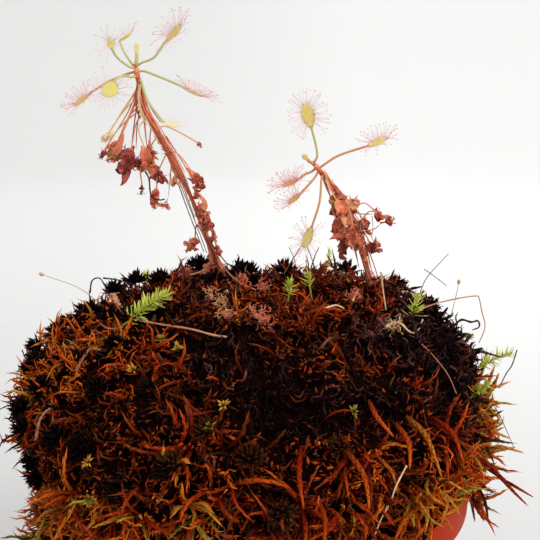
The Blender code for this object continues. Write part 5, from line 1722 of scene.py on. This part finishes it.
@dataclass
class Stem:
    """Tall leaning stem: its body, the old leaf stalks along it, its crown and its withered leaves."""

    node: str
    line: tuple
    withered: tuple
    seed: int
    rags: tuple
    strands: tuple
    spread: float
    radius: float = 0.45
    crown_radius: float = 0.8
    crown_half: float = 3.0

    def foot(self, root: np.ndarray) -> np.ndarray:
        """Point on the crown from which a leaf that starts at a root grows."""
        top, below = np.array(self.line[-1]), np.array(self.line[-2])
        axis = unit(top - below)
        along = float(np.clip((root - top).dot(axis), -self.crown_half * 0.8, self.crown_half * 0.75))
        heart = top + axis * along
        return heart + unit(root - heart) * self.crown_radius * 0.5

    def build(self, sight: Sight) -> None:
        """Make the stem piece and the shrivelled tentacles on its withered leaves.

        Args:
            sight: The photograph's camera, which places the crumpled rags.
        """
        rng = random.Random(self.seed)
        draft = MeshDraft()
        path = self.trunk(draft)
        self.old_stalks(draft, path, rng)
        fuzz = Growth()
        for entry in self.withered:
            self.withered_leaf(draft, fuzz, path, entry, rng)
        for u, v, y, size, tint in self.rags:
            heart = np.array(sight.at(u, v, y))
            for _ in range(13):
                start = heart + np.array(random_unit(rng)) * (0.7, 0.7, 1.15) * size * rng.uniform(0.0, 0.9)
                self.crumple(draft, start, size * 0.7, tint, rng)
                fuzz.plant(Vector(start), random_unit(rng), 0.0, rng.uniform(0.9, 2.2),
                           tint * rng.uniform(0.4, 1.1), rng.randrange(4))
        for _ in range(190):
            at = path[rng.randrange(8, 66)] + np.array(random_unit(rng)) * rng.uniform(0.5, 1.1)
            fuzz.plant(Vector(at), random_unit(rng), 0.0, rng.uniform(0.4, 1.2), rng.uniform(0.0, 0.6),
                       rng.randrange(4))
        for entry in self.strands:
            self.strand(draft, path, sight, entry)
        settle(draft.to_object(self.node + "_body", Palette.WITHERED.build()), "sundew_stem", self.node)
        make = random.Random(self.seed + 1)
        settle(grow(self.node + "_old_tentacles", fuzz, [self.old_tentacle(make) for _ in range(4)],
                    Palette.WITHERED), "sundew_stem")

    def trunk(self, draft: MeshDraft) -> np.ndarray:
        """Add the stem's body and its crown with the bud scales.

        Args:
            draft: Mesh draft of the stem.

        Returns:
            Centre line of the stem.
        """
        path = smooth_path(list(self.line), 70)
        for i, point in enumerate(path):
            path[i] = point + 0.12 * np.array(noise.noise_vector(Vector(point) / 3.0))
        radii = self.radius * np.array([1.0 + 0.22 * noise.noise(Vector(p) / 1.6) for p in path])
        points, faces, _ = sweep(path, radii, radii, (0.1, -1.0, 0.0), 12)
        tints = np.clip(0.52 + 0.35 * np.array([noise.noise(Vector(p) / 2.2) for p in points]), 0.0, 1.0)
        draft.add(points, faces, tints, 0.0)
        top = path[-1]
        axis = unit(path[-1] - path[-4])
        span = np.linspace(-1.0, 1.0, 14)
        crown = top + np.outer(span * self.crown_half, axis)
        girth = self.crown_radius * np.sqrt(np.clip(1.0 - span ** 2, 0.0, 1.0)) ** 0.8
        points, faces, _ = sweep(crown, girth, girth, (0.1, -1.0, 0.0), 12)
        tints = np.clip(0.5 + 0.3 * (points - top).dot(axis) / self.crown_half, 0.0, 1.0)
        draft.add(points, faces, tints, 0.0)
        for i in range(14):
            turn = i * GOLDEN_TURN
            out = Vector((math.cos(turn), math.sin(turn), 0.2))
            root = Vector(top) + Vector(axis) * self.crown_half * (i / 8.0 - 0.8)
            tip = root + out * 1.1 + Vector(axis) * 1.5
            draft.spindle(np.array(root), np.array(root.lerp(tip, 0.45) + out * 0.25), np.array(tip),
                          0.42, 0.16, np.array(out), 0.0)
            draft.tints[-5:] = [0.5 + 0.03 * (i % 9)] * 5
        return path

    @staticmethod
    def strand(draft: MeshDraft, path: np.ndarray, sight: Sight, entry: tuple) -> None:
        """Hang one old stalk or rag over its pixels of the photograph.

        Args:
            draft: Mesh draft of the stem.
            path: Centre line of the stem.
            sight: The photograph's camera.
            entry: Pixels, lift off the stem, radius and tint, and a rag's girth at its end.
        """
        pixels, lift, radius, tint, *end = entry
        marks = []
        for u, v in pixels:
            at = sight.at(u, v, 0.0)
            marks.append(sight.at(u, v, float(np.interp(at.z, path[:, 2], path[:, 1])) + lift))
        track = smooth_path(marks, 16)
        girth = radius * np.linspace(1.0, *(end or [0.6]), 16)
        girth[-3:] *= (0.85, 0.6, 0.0)
        cup = 0.5 if end else 0.0
        points, faces, along = sweep(track, girth, np.minimum(girth, radius), (0.3, -1.0, 0.2), 8, cup)
        points = points + 0.22 * np.array([noise.noise_vector(Vector(p) / 0.9) for p in points]) * len(end)
        draft.add(points, faces, tint, along * 0.5)

    def old_stalks(self, draft: MeshDraft, path: np.ndarray, rng: random.Random) -> None:
        """Lay thin old stalks along the stem, some of them coming away from it.

        Args:
            draft: Mesh draft of the stem.
            path: Centre line of the stem.
            rng: Source of the draw.
        """
        for i in range(28):
            start = rng.randint(34, 69)
            length = rng.randint(14, 34)
            turn = i * GOLDEN_TURN
            spread = rng.choice((0.02, 0.05, 0.1, 0.2)) * self.spread
            strand = []
            for k in range(7):
                at = max(0, start - length * k // 6)
                away = self.radius * 1.1 + spread * k * (1.0 + 0.2 * k)
                out = np.array((math.cos(turn + 0.12 * k), math.sin(turn + 0.12 * k), -0.1))
                shake = np.array(random_unit(rng)) * 0.32 if k else 0.0
                strand.append(path[at] + out * away + shake)
            track = smooth_path(strand, 18)
            radii = np.linspace(0.24, 0.13, 18)
            radii[-1] = 0.0
            tint = rng.choice((0.22, 0.36, 0.48, 0.56, 0.64, 0.74, 0.9))
            draft.tube(track, radii, radii * 0.8, (0.1, -1.0, 0.0), 6, tint=tint, fade=0.5)

    def withered_leaf(self, draft: MeshDraft, fuzz: Growth, path: np.ndarray, entry: tuple,
                      rng: random.Random) -> None:
        """Hang one withered leaf with its crumpled blade.

        Args:
            draft: Mesh draft of the stem.
            fuzz: Places of the shrivelled tentacles.
            path: Centre line of the stem.
            entry: Height share, bend, drop end, blade length, half width and tint.
            rng: Source of the draw.
        """
        share, bend, end, length, half, tint = entry
        start = path[round(share * (len(path) - 1))]
        bend, end = np.array(bend), np.array(end)
        fall = unit(end - bend)
        drift = np.array((rng.uniform(-0.25, 0.25), rng.uniform(-0.2, 0.2), -0.5))
        tip = end + (fall + drift) * length * 0.8
        middle = (end + tip) / 2 + np.array((rng.uniform(-0.3, 0.3), rng.uniform(-0.3, 0.3), 0.2))
        track = smooth_path([start, bend, end, middle, tip], 40)
        shares = np.linspace(0.0, 1.0, 40)
        open_share = np.clip((shares - 0.5) / 0.5, 0.0, 1.0)
        swell = np.sin(math.pi * open_share ** 0.8) ** 0.7
        widths = 0.22 + (half * 1.1 - 0.22) * swell
        widths[-1] = 0.0
        heights = 0.22 + 0.14 * swell
        points, faces, along = sweep(track, widths, heights, (rng.uniform(-1.0, 1.0), -1.0, 0.4), 10, 0.7)
        wave = np.array([noise.noise_vector(Vector(p) / 1.1) for p in points])
        grade = np.clip((along - 0.5) * 4.0, 0.0, 1.0)[:, None]
        points = points + wave * grade * 1.1
        stalk_tint = rng.choice((0.62, 0.72, 0.8))
        tints = np.where(along > 0.52, tint, stalk_tint) + 0.12 * wave[:, 0]
        draft.add(points, faces, np.clip(tints, 0.0, 1.0), along * 0.5)
        for _ in range(6):
            self.crumple(draft, track[rng.randrange(25, 38)], half, tint, rng)
        for _ in range(int(6 + length * 3)):
            at = rng.randrange(24, 39)
            way = random_unit(rng)
            way.z = way.z * 0.6 - 0.2
            root = Vector(track[at]) + way * 0.5 * half * rng.random()
            fuzz.plant(root, way.normalized(), rng.uniform(0.0, math.tau), rng.uniform(0.5, 1.1),
                       share_of_one(tint + rng.uniform(-0.3, 0.1)), rng.randrange(4))

    @staticmethod
    def crumple(draft: MeshDraft, place: np.ndarray, half: float, tint: float, rng: random.Random) -> None:
        """Add one curled flap to a withered blade.

        Args:
            draft: Mesh draft of the stem.
            place: Where the flap starts.
            half: Half width of the blade.
            tint: Shade of the blade.
            rng: Source of the draw.
        """
        marks = [place]
        for _ in range(3):
            way = random_unit(rng)
            way.z = way.z * 0.8 - 0.25
            marks.append(marks[-1] + np.array(way) * half * rng.uniform(0.6, 1.2))
        track = smooth_path(marks, 7)
        widths = half * np.array([0.24, 0.48, 0.62, 0.56, 0.42, 0.22, 0.0])
        facing = (rng.uniform(-1.0, 1.0), -1.0, 0.5)
        shade = share_of_one(tint + rng.uniform(-0.2, 0.24))
        draft.tube(track, widths, np.full(7, 0.08), facing, 4, 0.6, shade, 0.5)

    @staticmethod
    def old_tentacle(rng: random.Random) -> MeshDraft:
        """Short shrivelled tentacle with a dark dried gland."""
        path = smooth_path([(0.0, 0.0, 0.0), (rng.uniform(-0.3, 0.3), 0.2, 0.7),
                            (rng.uniform(-0.6, 0.6), 0.6, 1.2)], 4)
        radii = np.array([0.07, 0.05, 0.08, 0.0])
        return MeshDraft().tube(path, radii, radii, (1.0, 0.0, 0.0), 4)


@dataclass(frozen=True)
class Sprig:
    """Green moss shoot: its seat, lean, length, leaf reach, leaf count and shade."""

    node: str
    spot: tuple
    lean: tuple
    length: float
    reach: float
    leaves: int
    tint: float
    stem: float = 0.36

    def build(self, shape: Cushion) -> Vector:
        """Make the sprig and return its seat.

        Args:
            shape: The cushion that it stands in.

        Returns:
            Seat on the skin.
        """
        seat = shape.above(self.spot)
        axis = Vector(self.lean).normalized()
        rng = random.Random(self.node)
        tip = seat + axis * self.length
        curve = axis.orthogonal().normalized() * self.length * 0.06
        track = smooth_path([seat - axis * 6.5, seat, (seat + tip) / 2 + curve, tip], 20)
        radii = np.linspace(self.stem, self.stem * 0.4, 20)
        radii[-1] = 0.0
        draft = MeshDraft().tube(track, radii, radii, (0.3, 1.0, 0.1), tint=self.tint * 0.6)
        growth = Growth()
        side = axis.orthogonal().normalized()
        for i in range(self.leaves):
            share = 0.02 + 0.96 * (i + 0.5) / self.leaves
            at = track[int((0.32 + 0.68 * share) * 19)]
            turn = i * GOLDEN_TURN
            out = side * math.cos(turn) + axis.cross(side) * math.sin(turn)
            aim = out * (1.3 - 0.8 * share) + axis * (0.4 + 0.5 * share) + random_unit(rng) * 0.45
            size = self.reach / 2.6 * (1.1 - 0.35 * share) * rng.uniform(0.65, 1.2)
            growth.plant(Vector(at), aim.normalized(), rng.uniform(-0.4, 0.4), size,
                         self.tint * rng.uniform(0.75, 1.2), rng.randrange(4))
        settle(draft.to_object(self.node + "_stem", Palette.GREEN.build()), "green_moss", self.node)
        make = random.Random(21)
        shoots = [self.leaf(make) for _ in range(4)]
        settle(grow(self.node + "_leaves", growth, shoots, Palette.GREEN), "green_moss")
        return seat

    @staticmethod
    def leaf(rng: random.Random) -> MeshDraft:
        """Narrow pointed moss leaf that curves back."""
        back = rng.uniform(0.3, 1.0)
        path = smooth_path([(0.0, 0.0, 0.0), (0.0, 0.1, 1.0), (0.0, back * 0.5, 2.1), (0.0, back, 3.1)], 7)
        widths = np.array([0.14, 0.24, 0.26, 0.22, 0.16, 0.09, 0.0])
        return MeshDraft().tube(path, widths, np.full(7, 0.07), (0.0, 1.0, 0.0), 6, 0.3)


SPRIGS = (
    Sprig("moss_sprig_1", (-40.0, -23.0), (0.8, -0.05, 0.56), 14.5, 3.6, 120, 0.66),
    Sprig("moss_sprig_2", (7.5, -8.0), (0.1, -0.2, 1.0), 4.4, 2.6, 30, 0.5),
    Sprig("moss_sprig_3", (14.5, 4.0), (-0.15, -0.1, 1.0), 4.2, 2.6, 30, 0.7),
    Sprig("moss_sprig_4", (45.6, -14.0), (0.2, -0.2, 1.0), 7.0, 3.2, 44, 0.75),
    Sprig("moss_sprig_5", (62.0, -33.0), (0.5, -0.5, 0.75), 5.5, 2.6, 30, 0.3),
    Sprig("moss_sprig_6", (69.5, -6.0), (0.85, -0.3, 0.5), 11.0, 3.4, 56, 0.96),
    Sprig("moss_sprig_7", (-42.0, 34.0), (-0.35, 0.9, 0.2), 7.0, 2.6, 50, 0.6),
    Sprig("moss_sprig_8", (22.0, 44.0), (0.2, 0.5, 0.9), 9.0, 2.8, 44, 0.7),
)


@dataclass(frozen=True)
class Stalk:
    """Hair-thin standing stalk, with a spore capsule or bare."""

    node: str
    spot: tuple
    bend: tuple
    tip: tuple
    radius: float
    capsule: float
    tint: float

    def build(self, shape: Cushion) -> Vector:
        """Make the stalk and return its seat.

        Args:
            shape: The cushion that it stands in.

        Returns:
            Seat on the skin.
        """
        seat = shape.above(self.spot)
        rise = (Vector(self.bend) - seat).normalized()
        track = smooth_path([seat - rise * 5.5, seat, self.bend, self.tip], 40)
        radii = np.linspace(self.radius, self.radius * 0.55, 40)
        draft = MeshDraft().tube(track, radii, radii, (0.2, 0.9, 0.1), tint=self.tint)
        if self.capsule > 0.0:
            axis = unit(track[-1] - track[-3])
            span = np.linspace(-1.1, 1.5, 12)
            egg = track[-1] + np.outer(span * self.capsule, axis)
            girth = self.capsule * np.sqrt(np.clip(1.0 - ((span - 0.1) / 1.45) ** 2, 0.0, 1.0))
            girth[-1] = 0.0
            draft.tube(egg, girth, girth, (0.2, 0.9, 0.1), 12, tint=0.85)
        settle(draft.to_object(self.node + "_stalk", Palette.STRAW.build()), "dry_stalk", self.node)
        return seat


STALKS = (
    Stalk("capsule_stalk_1", (-53.0, 1.0), (-60.0, 0.4, 160.0), (-71.5, 0.0, 164.6), 0.15, 0.6, 0.6),
    Stalk("capsule_stalk_2", (61.0, 6.0), (62.5, 5.0, 156.0), (63.0, 4.0, 161.0), 0.16, 0.6, 0.7),
    Stalk("dry_stalk_1", (50.5, 9.0), (53.0, 8.0, 161.0), (59.6, 6.0, 170.0), 0.2, 0.0, 0.2),
    Stalk("dry_stalk_2", (18.0, 12.0), (15.0, 12.5, 168.0), (12.0, 13.0, 175.4), 0.2, 0.0, 0.1),
)


@dataclass(frozen=True)
class Straw:
    """One straw, wire, rolled leaf or long branch: photograph pixels along it, depth, radius, tint and end.

    It lies on the skin where it has no depth. Its end is the radius there as a share, or, for a long branch,
    how far its tip stands off the skin.
    """

    pixels: tuple
    depth: float | None
    radius: float
    tint: float
    end: float


BRANCHES = (
    Straw(((470, 428), (490, 431), (509, 438)), -14.0, 1.1, 0.82, 0.0),
    Straw(((476, 454), (498, 447), (525, 453)), -16.0, 1.1, 0.8, 0.0),
    Straw(((480, 464), (498, 475), (513, 491), (530, 508)), -16.0, 1.15, 0.42, 0.0),
    Straw(((504, 480), (516, 487), (533, 497)), -15.0, 0.8, 0.44, 0.0),
    Straw(((466, 480), (471, 500), (475, 522)), -22.0, 1.0, 0.3, 0.0),
    Straw(((480, 490), (485, 503), (488, 518)), -20.0, 0.9, 0.24, 0.0),
    Straw(((402, 418), (419, 442), (429, 478)), None, 1.25, 0.72, 3.0),
    Straw(((392, 425), (402, 447), (400, 472)), None, 1.15, 0.62, 3.0),
    Straw(((430, 420), (446, 437), (452, 462)), None, 1.1, 0.5, 3.0),
    Straw(((366, 402), (371, 420), (384, 442)), None, 1.0, 0.6, 3.0),
    Straw(((426, 482), (438, 496), (431, 515)), None, 1.0, 0.78, 2.5),
    Straw(((460, 492), (450, 503), (434, 508)), None, 0.95, 0.76, 2.5),
    Straw(((345, 452), (360, 476), (362, 502)), None, 1.15, 0.64, 3.0),
    Straw(((300, 448), (296, 478), (300, 506)), None, 1.0, 0.5, 3.0),
    Straw(((192, 502), (207, 507), (222, 518)), None, 0.62, 0.8, 1.4),
    Straw(((193, 503), (203, 501), (212, 505)), None, 0.5, 0.76, 2.2),
    Straw(((191, 504), (186, 497), (185, 488)), None, 0.46, 0.72, 1.4),
    Straw(((190, 505), (183, 505), (177, 509)), None, 0.5, 0.78, 1.4),
    Straw(((192, 505), (195, 511), (194, 519)), None, 0.55, 0.74, 1.4),
    Straw(((173, 467), (182, 463), (188, 464)), None, 0.45, 0.74, 1.2),
    Straw(((173, 467), (168, 461), (167, 455)), None, 0.42, 0.78, 1.2),
    Straw(((173, 467), (177, 474), (178, 481)), None, 0.45, 0.8, 1.2),
    Straw(((420, 500), (400, 512), (388, 528)), None, 1.0, 0.66, 2.5),
    Straw(((318, 500), (322, 516), (318, 534)), None, 1.0, 0.6, 2.5),
    Straw(((96, 346), (108, 344), (122, 350)), None, 0.7, 0.74, 1.5),
    Straw(((62, 506), (52, 510), (43, 520)), None, 0.7, 0.74, 2.0),
    Straw(((48, 508), (50, 519), (44, 532)), None, 0.65, 0.8, 2.0),
    Straw(((40, 506), (41, 516), (36, 526)), None, 0.6, 0.6, 2.0),
    Straw(((60, 512), (58, 524), (63, 537)), None, 0.7, 0.68, 2.0),
    Straw(((52, 522), (46, 530), (45, 541)), None, 0.6, 0.84, 2.0),
    Straw(((70, 510), (66, 520), (70, 533)), None, 0.6, 0.56, 2.0),
)
STRAWS = (
    Straw(((143, 323), (165, 327), (190, 331), (213, 337), (227, 339)), None, 0.3, 0.62, 1.4),
    Straw(((405, 466), (395, 485), (388, 503), (380, 517), (371, 540)), None, 0.26, 0.95, 0.8),
    Straw(((386, 504), (383, 512), (378, 520)), None, 0.2, 0.9, 0.5),
    Straw(((421, 309), (438, 303), (460, 298), (476, 296), (479, 298), (482, 312), (485, 327),
         (479, 343)), -12.0, 0.22, 0.66, 0.8),
    Straw(((381, 272), (383, 290), (386, 310)), -22.0, 0.32, 0.8, 0.6),
    Straw(((412, 338), (430, 355), (446, 375), (455, 395)), None, 0.28, 0.45, 0.5),
    Straw(((90, 293), (92, 281), (99, 278), (104, 284), (109, 296)), -8.0, 0.26, 0.0, 0.6),
    Straw(((103, 278), (118, 280), (134, 285), (146, 291)), -6.0, 0.26, 0.0, 0.5),
    Straw(((424, 269), (434, 276), (447, 286)), 4.0, 0.14, 0.05, 0.8),
    Straw(((274, 278), (274, 270), (274.5, 263)), 10.0, 0.7, 0.0, 0.05),
    Straw(((291, 272), (295, 262), (289, 247)), 8.0, 0.2, 0.1, 0.5),
    Straw(((284, 274), (291, 262), (300, 248), (306, 239)), 2.0, 0.2, 0.35, 0.7),
    Straw(((311, 268), (315, 256), (319, 247)), 8.0, 0.24, 0.05, 0.5),
    Straw(((336, 268), (334, 258), (332, 249)), 8.0, 0.5, 0.0, 0.05),
    Straw(((333, 268), (330, 260), (326, 253)), 8.0, 0.4, 0.0, 0.05),
    Straw(((452, 328), (461, 320), (471, 322), (478, 321), (479, 327), (472, 330)), -8.0, 0.42, 0.0, 0.5),
    Straw(((480, 351), (490, 354), (501, 357)), -14.0, 0.55, 0.04, 0.3),
    Straw(((499, 388), (506, 374), (512, 365), (517, 350)), -16.0, 0.18, 0.08, 1.2),
    Straw(((490, 400), (500, 416), (514, 448)), -20.0, 0.13, 0.1, 0.8),
    Straw(((22, 350), (28, 361), (46, 366), (66, 367)), -14.0, 0.2, 0.05, 0.6),
    Straw(((98, 322), (109, 330), (124, 329)), None, 0.3, 0.55, 0.6),
    Straw(((78, 374), (84, 362), (92, 352), (102, 353)), None, 0.7, 0.36, 0.5),
    Straw(((39, 441), (42, 424), (47, 415), (53, 410)), None, 0.62, 0.42, 0.5),
    Straw(((114, 299), (119, 308), (125, 318)), None, 1.0, 0.66, 0.5),
    Straw(((384, 329), (397, 325), (408, 334), (415, 334), (421, 322)), None, 0.55, 0.86, 0.5),
    Straw(((325, 311), (336, 308), (344, 311)), None, 0.5, 0.95, 0.5),
    Straw(((352, 303), (358, 292), (366, 288)), None, 0.35, 0.9, 0.5),
    Straw(((30, 503), (38, 515), (48, 524)), -8.0, 0.6, 0.95, 1.3),
    Straw(((145, 171), (149, 179), (150, 190), (152, 197), (159, 200), (165, 199)), 1.0, 0.26, 0.02, 0.8),
    Straw(((179, 186), (190, 216), (204, 252)), 4.0, 0.18, 0.3, 0.8),
    Straw(((181, 186), (193, 216), (207, 253)), 5.0, 0.16, 0.1, 0.8),
    Straw(((209, 250), (210, 262), (202, 271), (190, 275)), 8.0, 0.3, 0.55, 1.1),
    Straw(((217, 255), (226, 270), (240, 283), (256, 290)), 6.0, 0.22, 0.6, 1.0),
    Straw(((208, 237), (216, 250), (228, 265)), 8.0, 0.2, 0.12, 1.0),
)


@dataclass
class Litter:
    """Dry straws, wiry roots and rolled leaves that lie over the moss."""

    shape: Cushion
    sight: Sight
    branch_girth: tuple = (0.5, 0.8, 0.74, 0.56, 0.32, 0.0)
    tufts: tuple = (
        (211, 429, 1.0), (224, 407, 0.86), (162, 343, 0.93), (38, 531, 1.0), (92, 498, 0.95),
        (46, 516, 0.8), (55, 530, 0.74), (42, 536, 0.86), (61, 518, 0.6), (352, 414, 0.96),
        (496, 332, 0.93), (90, 462, 0.84), (135, 372, 0.84), (178, 352, 0.86),
    )

    def build(self) -> None:
        """Make the straws as one piece and the long branches with the green tufts as another."""
        draft, fingers = MeshDraft(), MeshDraft()
        rng = random.Random(83)
        girth = np.interp(np.linspace(0.0, 5.0, 14), range(6), self.branch_girth)
        for branch in BRANCHES:
            marks, _ = self.route(branch, branch.end / (len(branch.pixels) - 1))
            Shoots.clad(fingers, smooth_path(marks, 14), branch.radius * girth, 44, branch.tint, rng)
        for straw in STRAWS:
            marks, facing = self.route(straw, 0.0)
            count = 10 * len(marks)
            share = np.linspace(0.0, 1.0, count)
            crumple = 1.0 + 0.35 * np.sin(share * 37.0 + straw.tint * 9.0) * min(1.0, straw.radius)
            radii = straw.radius * (1.0 + (straw.end - 1.0) * share) * crumple
            cup = 0.3 if straw.radius > 0.6 else 0.0
            draft.tube(smooth_path(marks, count), radii, radii * 0.7, facing, 6, cup, straw.tint)
        for u, v, tint in self.tufts:
            seat, way = self.shape.under_pixel(self.sight, u, v)
            for _ in range(14):
                out = way * 0.8 + random_unit(rng)
                tip = seat + way + out.normalized() * rng.uniform(1.4, 2.8)
                fingers.spindle(np.array(seat + way * 0.6), np.array((seat + way + tip) / 2), np.array(tip),
                                0.36, 0.1, np.array(way), 0.8)
                fingers.tints[-5:] = [tint] * 5
        settle(draft.to_object("dry_straws", Palette.STRAW.build()), "dry_stalk")
        settle(fingers.to_object("moss_long_branches", Palette.MOSS.build()), "bog_moss")

    def route(self, straw: Straw, rise: float) -> tuple[list, tuple]:
        """Points of a straw or branch behind its pixels.

        Args:
            straw: The straw or branch.
            rise: How much further off the skin each next point stands.

        Returns:
            The points, and the way that its upper side faces.
        """
        if straw.depth is not None:
            return [self.sight.at(*pixel, straw.depth) for pixel in straw.pixels], (0.1, -1.0, 0.2)
        seats = [self.shape.under_pixel(self.sight, *pixel) for pixel in straw.pixels]
        marks = [place + way * (0.4 + straw.radius + rise * k) for k, (place, way) in enumerate(seats)]
        return marks, tuple(seats[0][1])


def main() -> None:
    """Build the studio and every piece in order."""
    logging.basicConfig(level=logging.INFO, format="%(name)s %(message)s")
    sight = Sight()
    sight.build()
    Studio().build()
    Pot().build()
    Medium().build()
    shape = Cushion()
    clear = [(line[2], 3.2) for line in (LEFT_STEM, RIGHT_STEM)]
    for sprig in SPRIGS:
        clear.append((tuple(sprig.build(shape)), 3.0))
    for stalk in STALKS:
        clear.append((tuple(stalk.build(shape)), 1.6))
    MossCushion(shape, sight, clear).build()
    Litter(shape, sight).build()
    left = Stem("sundew_left_stem", LEFT_STEM, LEFT_WITHERED, 51, LEFT_RAGS, LEFT_STRANDS, 1.0)
    right = Stem("sundew_right_stem", RIGHT_STEM, RIGHT_WITHERED, 53, RIGHT_RAGS, RIGHT_STRANDS, 1.8)
    for stem, specs in ((left, LEFT_LEAVES), (right, RIGHT_LEAVES)):
        stem.build(sight)
        for spec in specs:
            Leaf(spec, stem).build()
    view = bpy.context.evaluated_depsgraph_get()
    view.update()


if __name__ == "__main__":
    main()
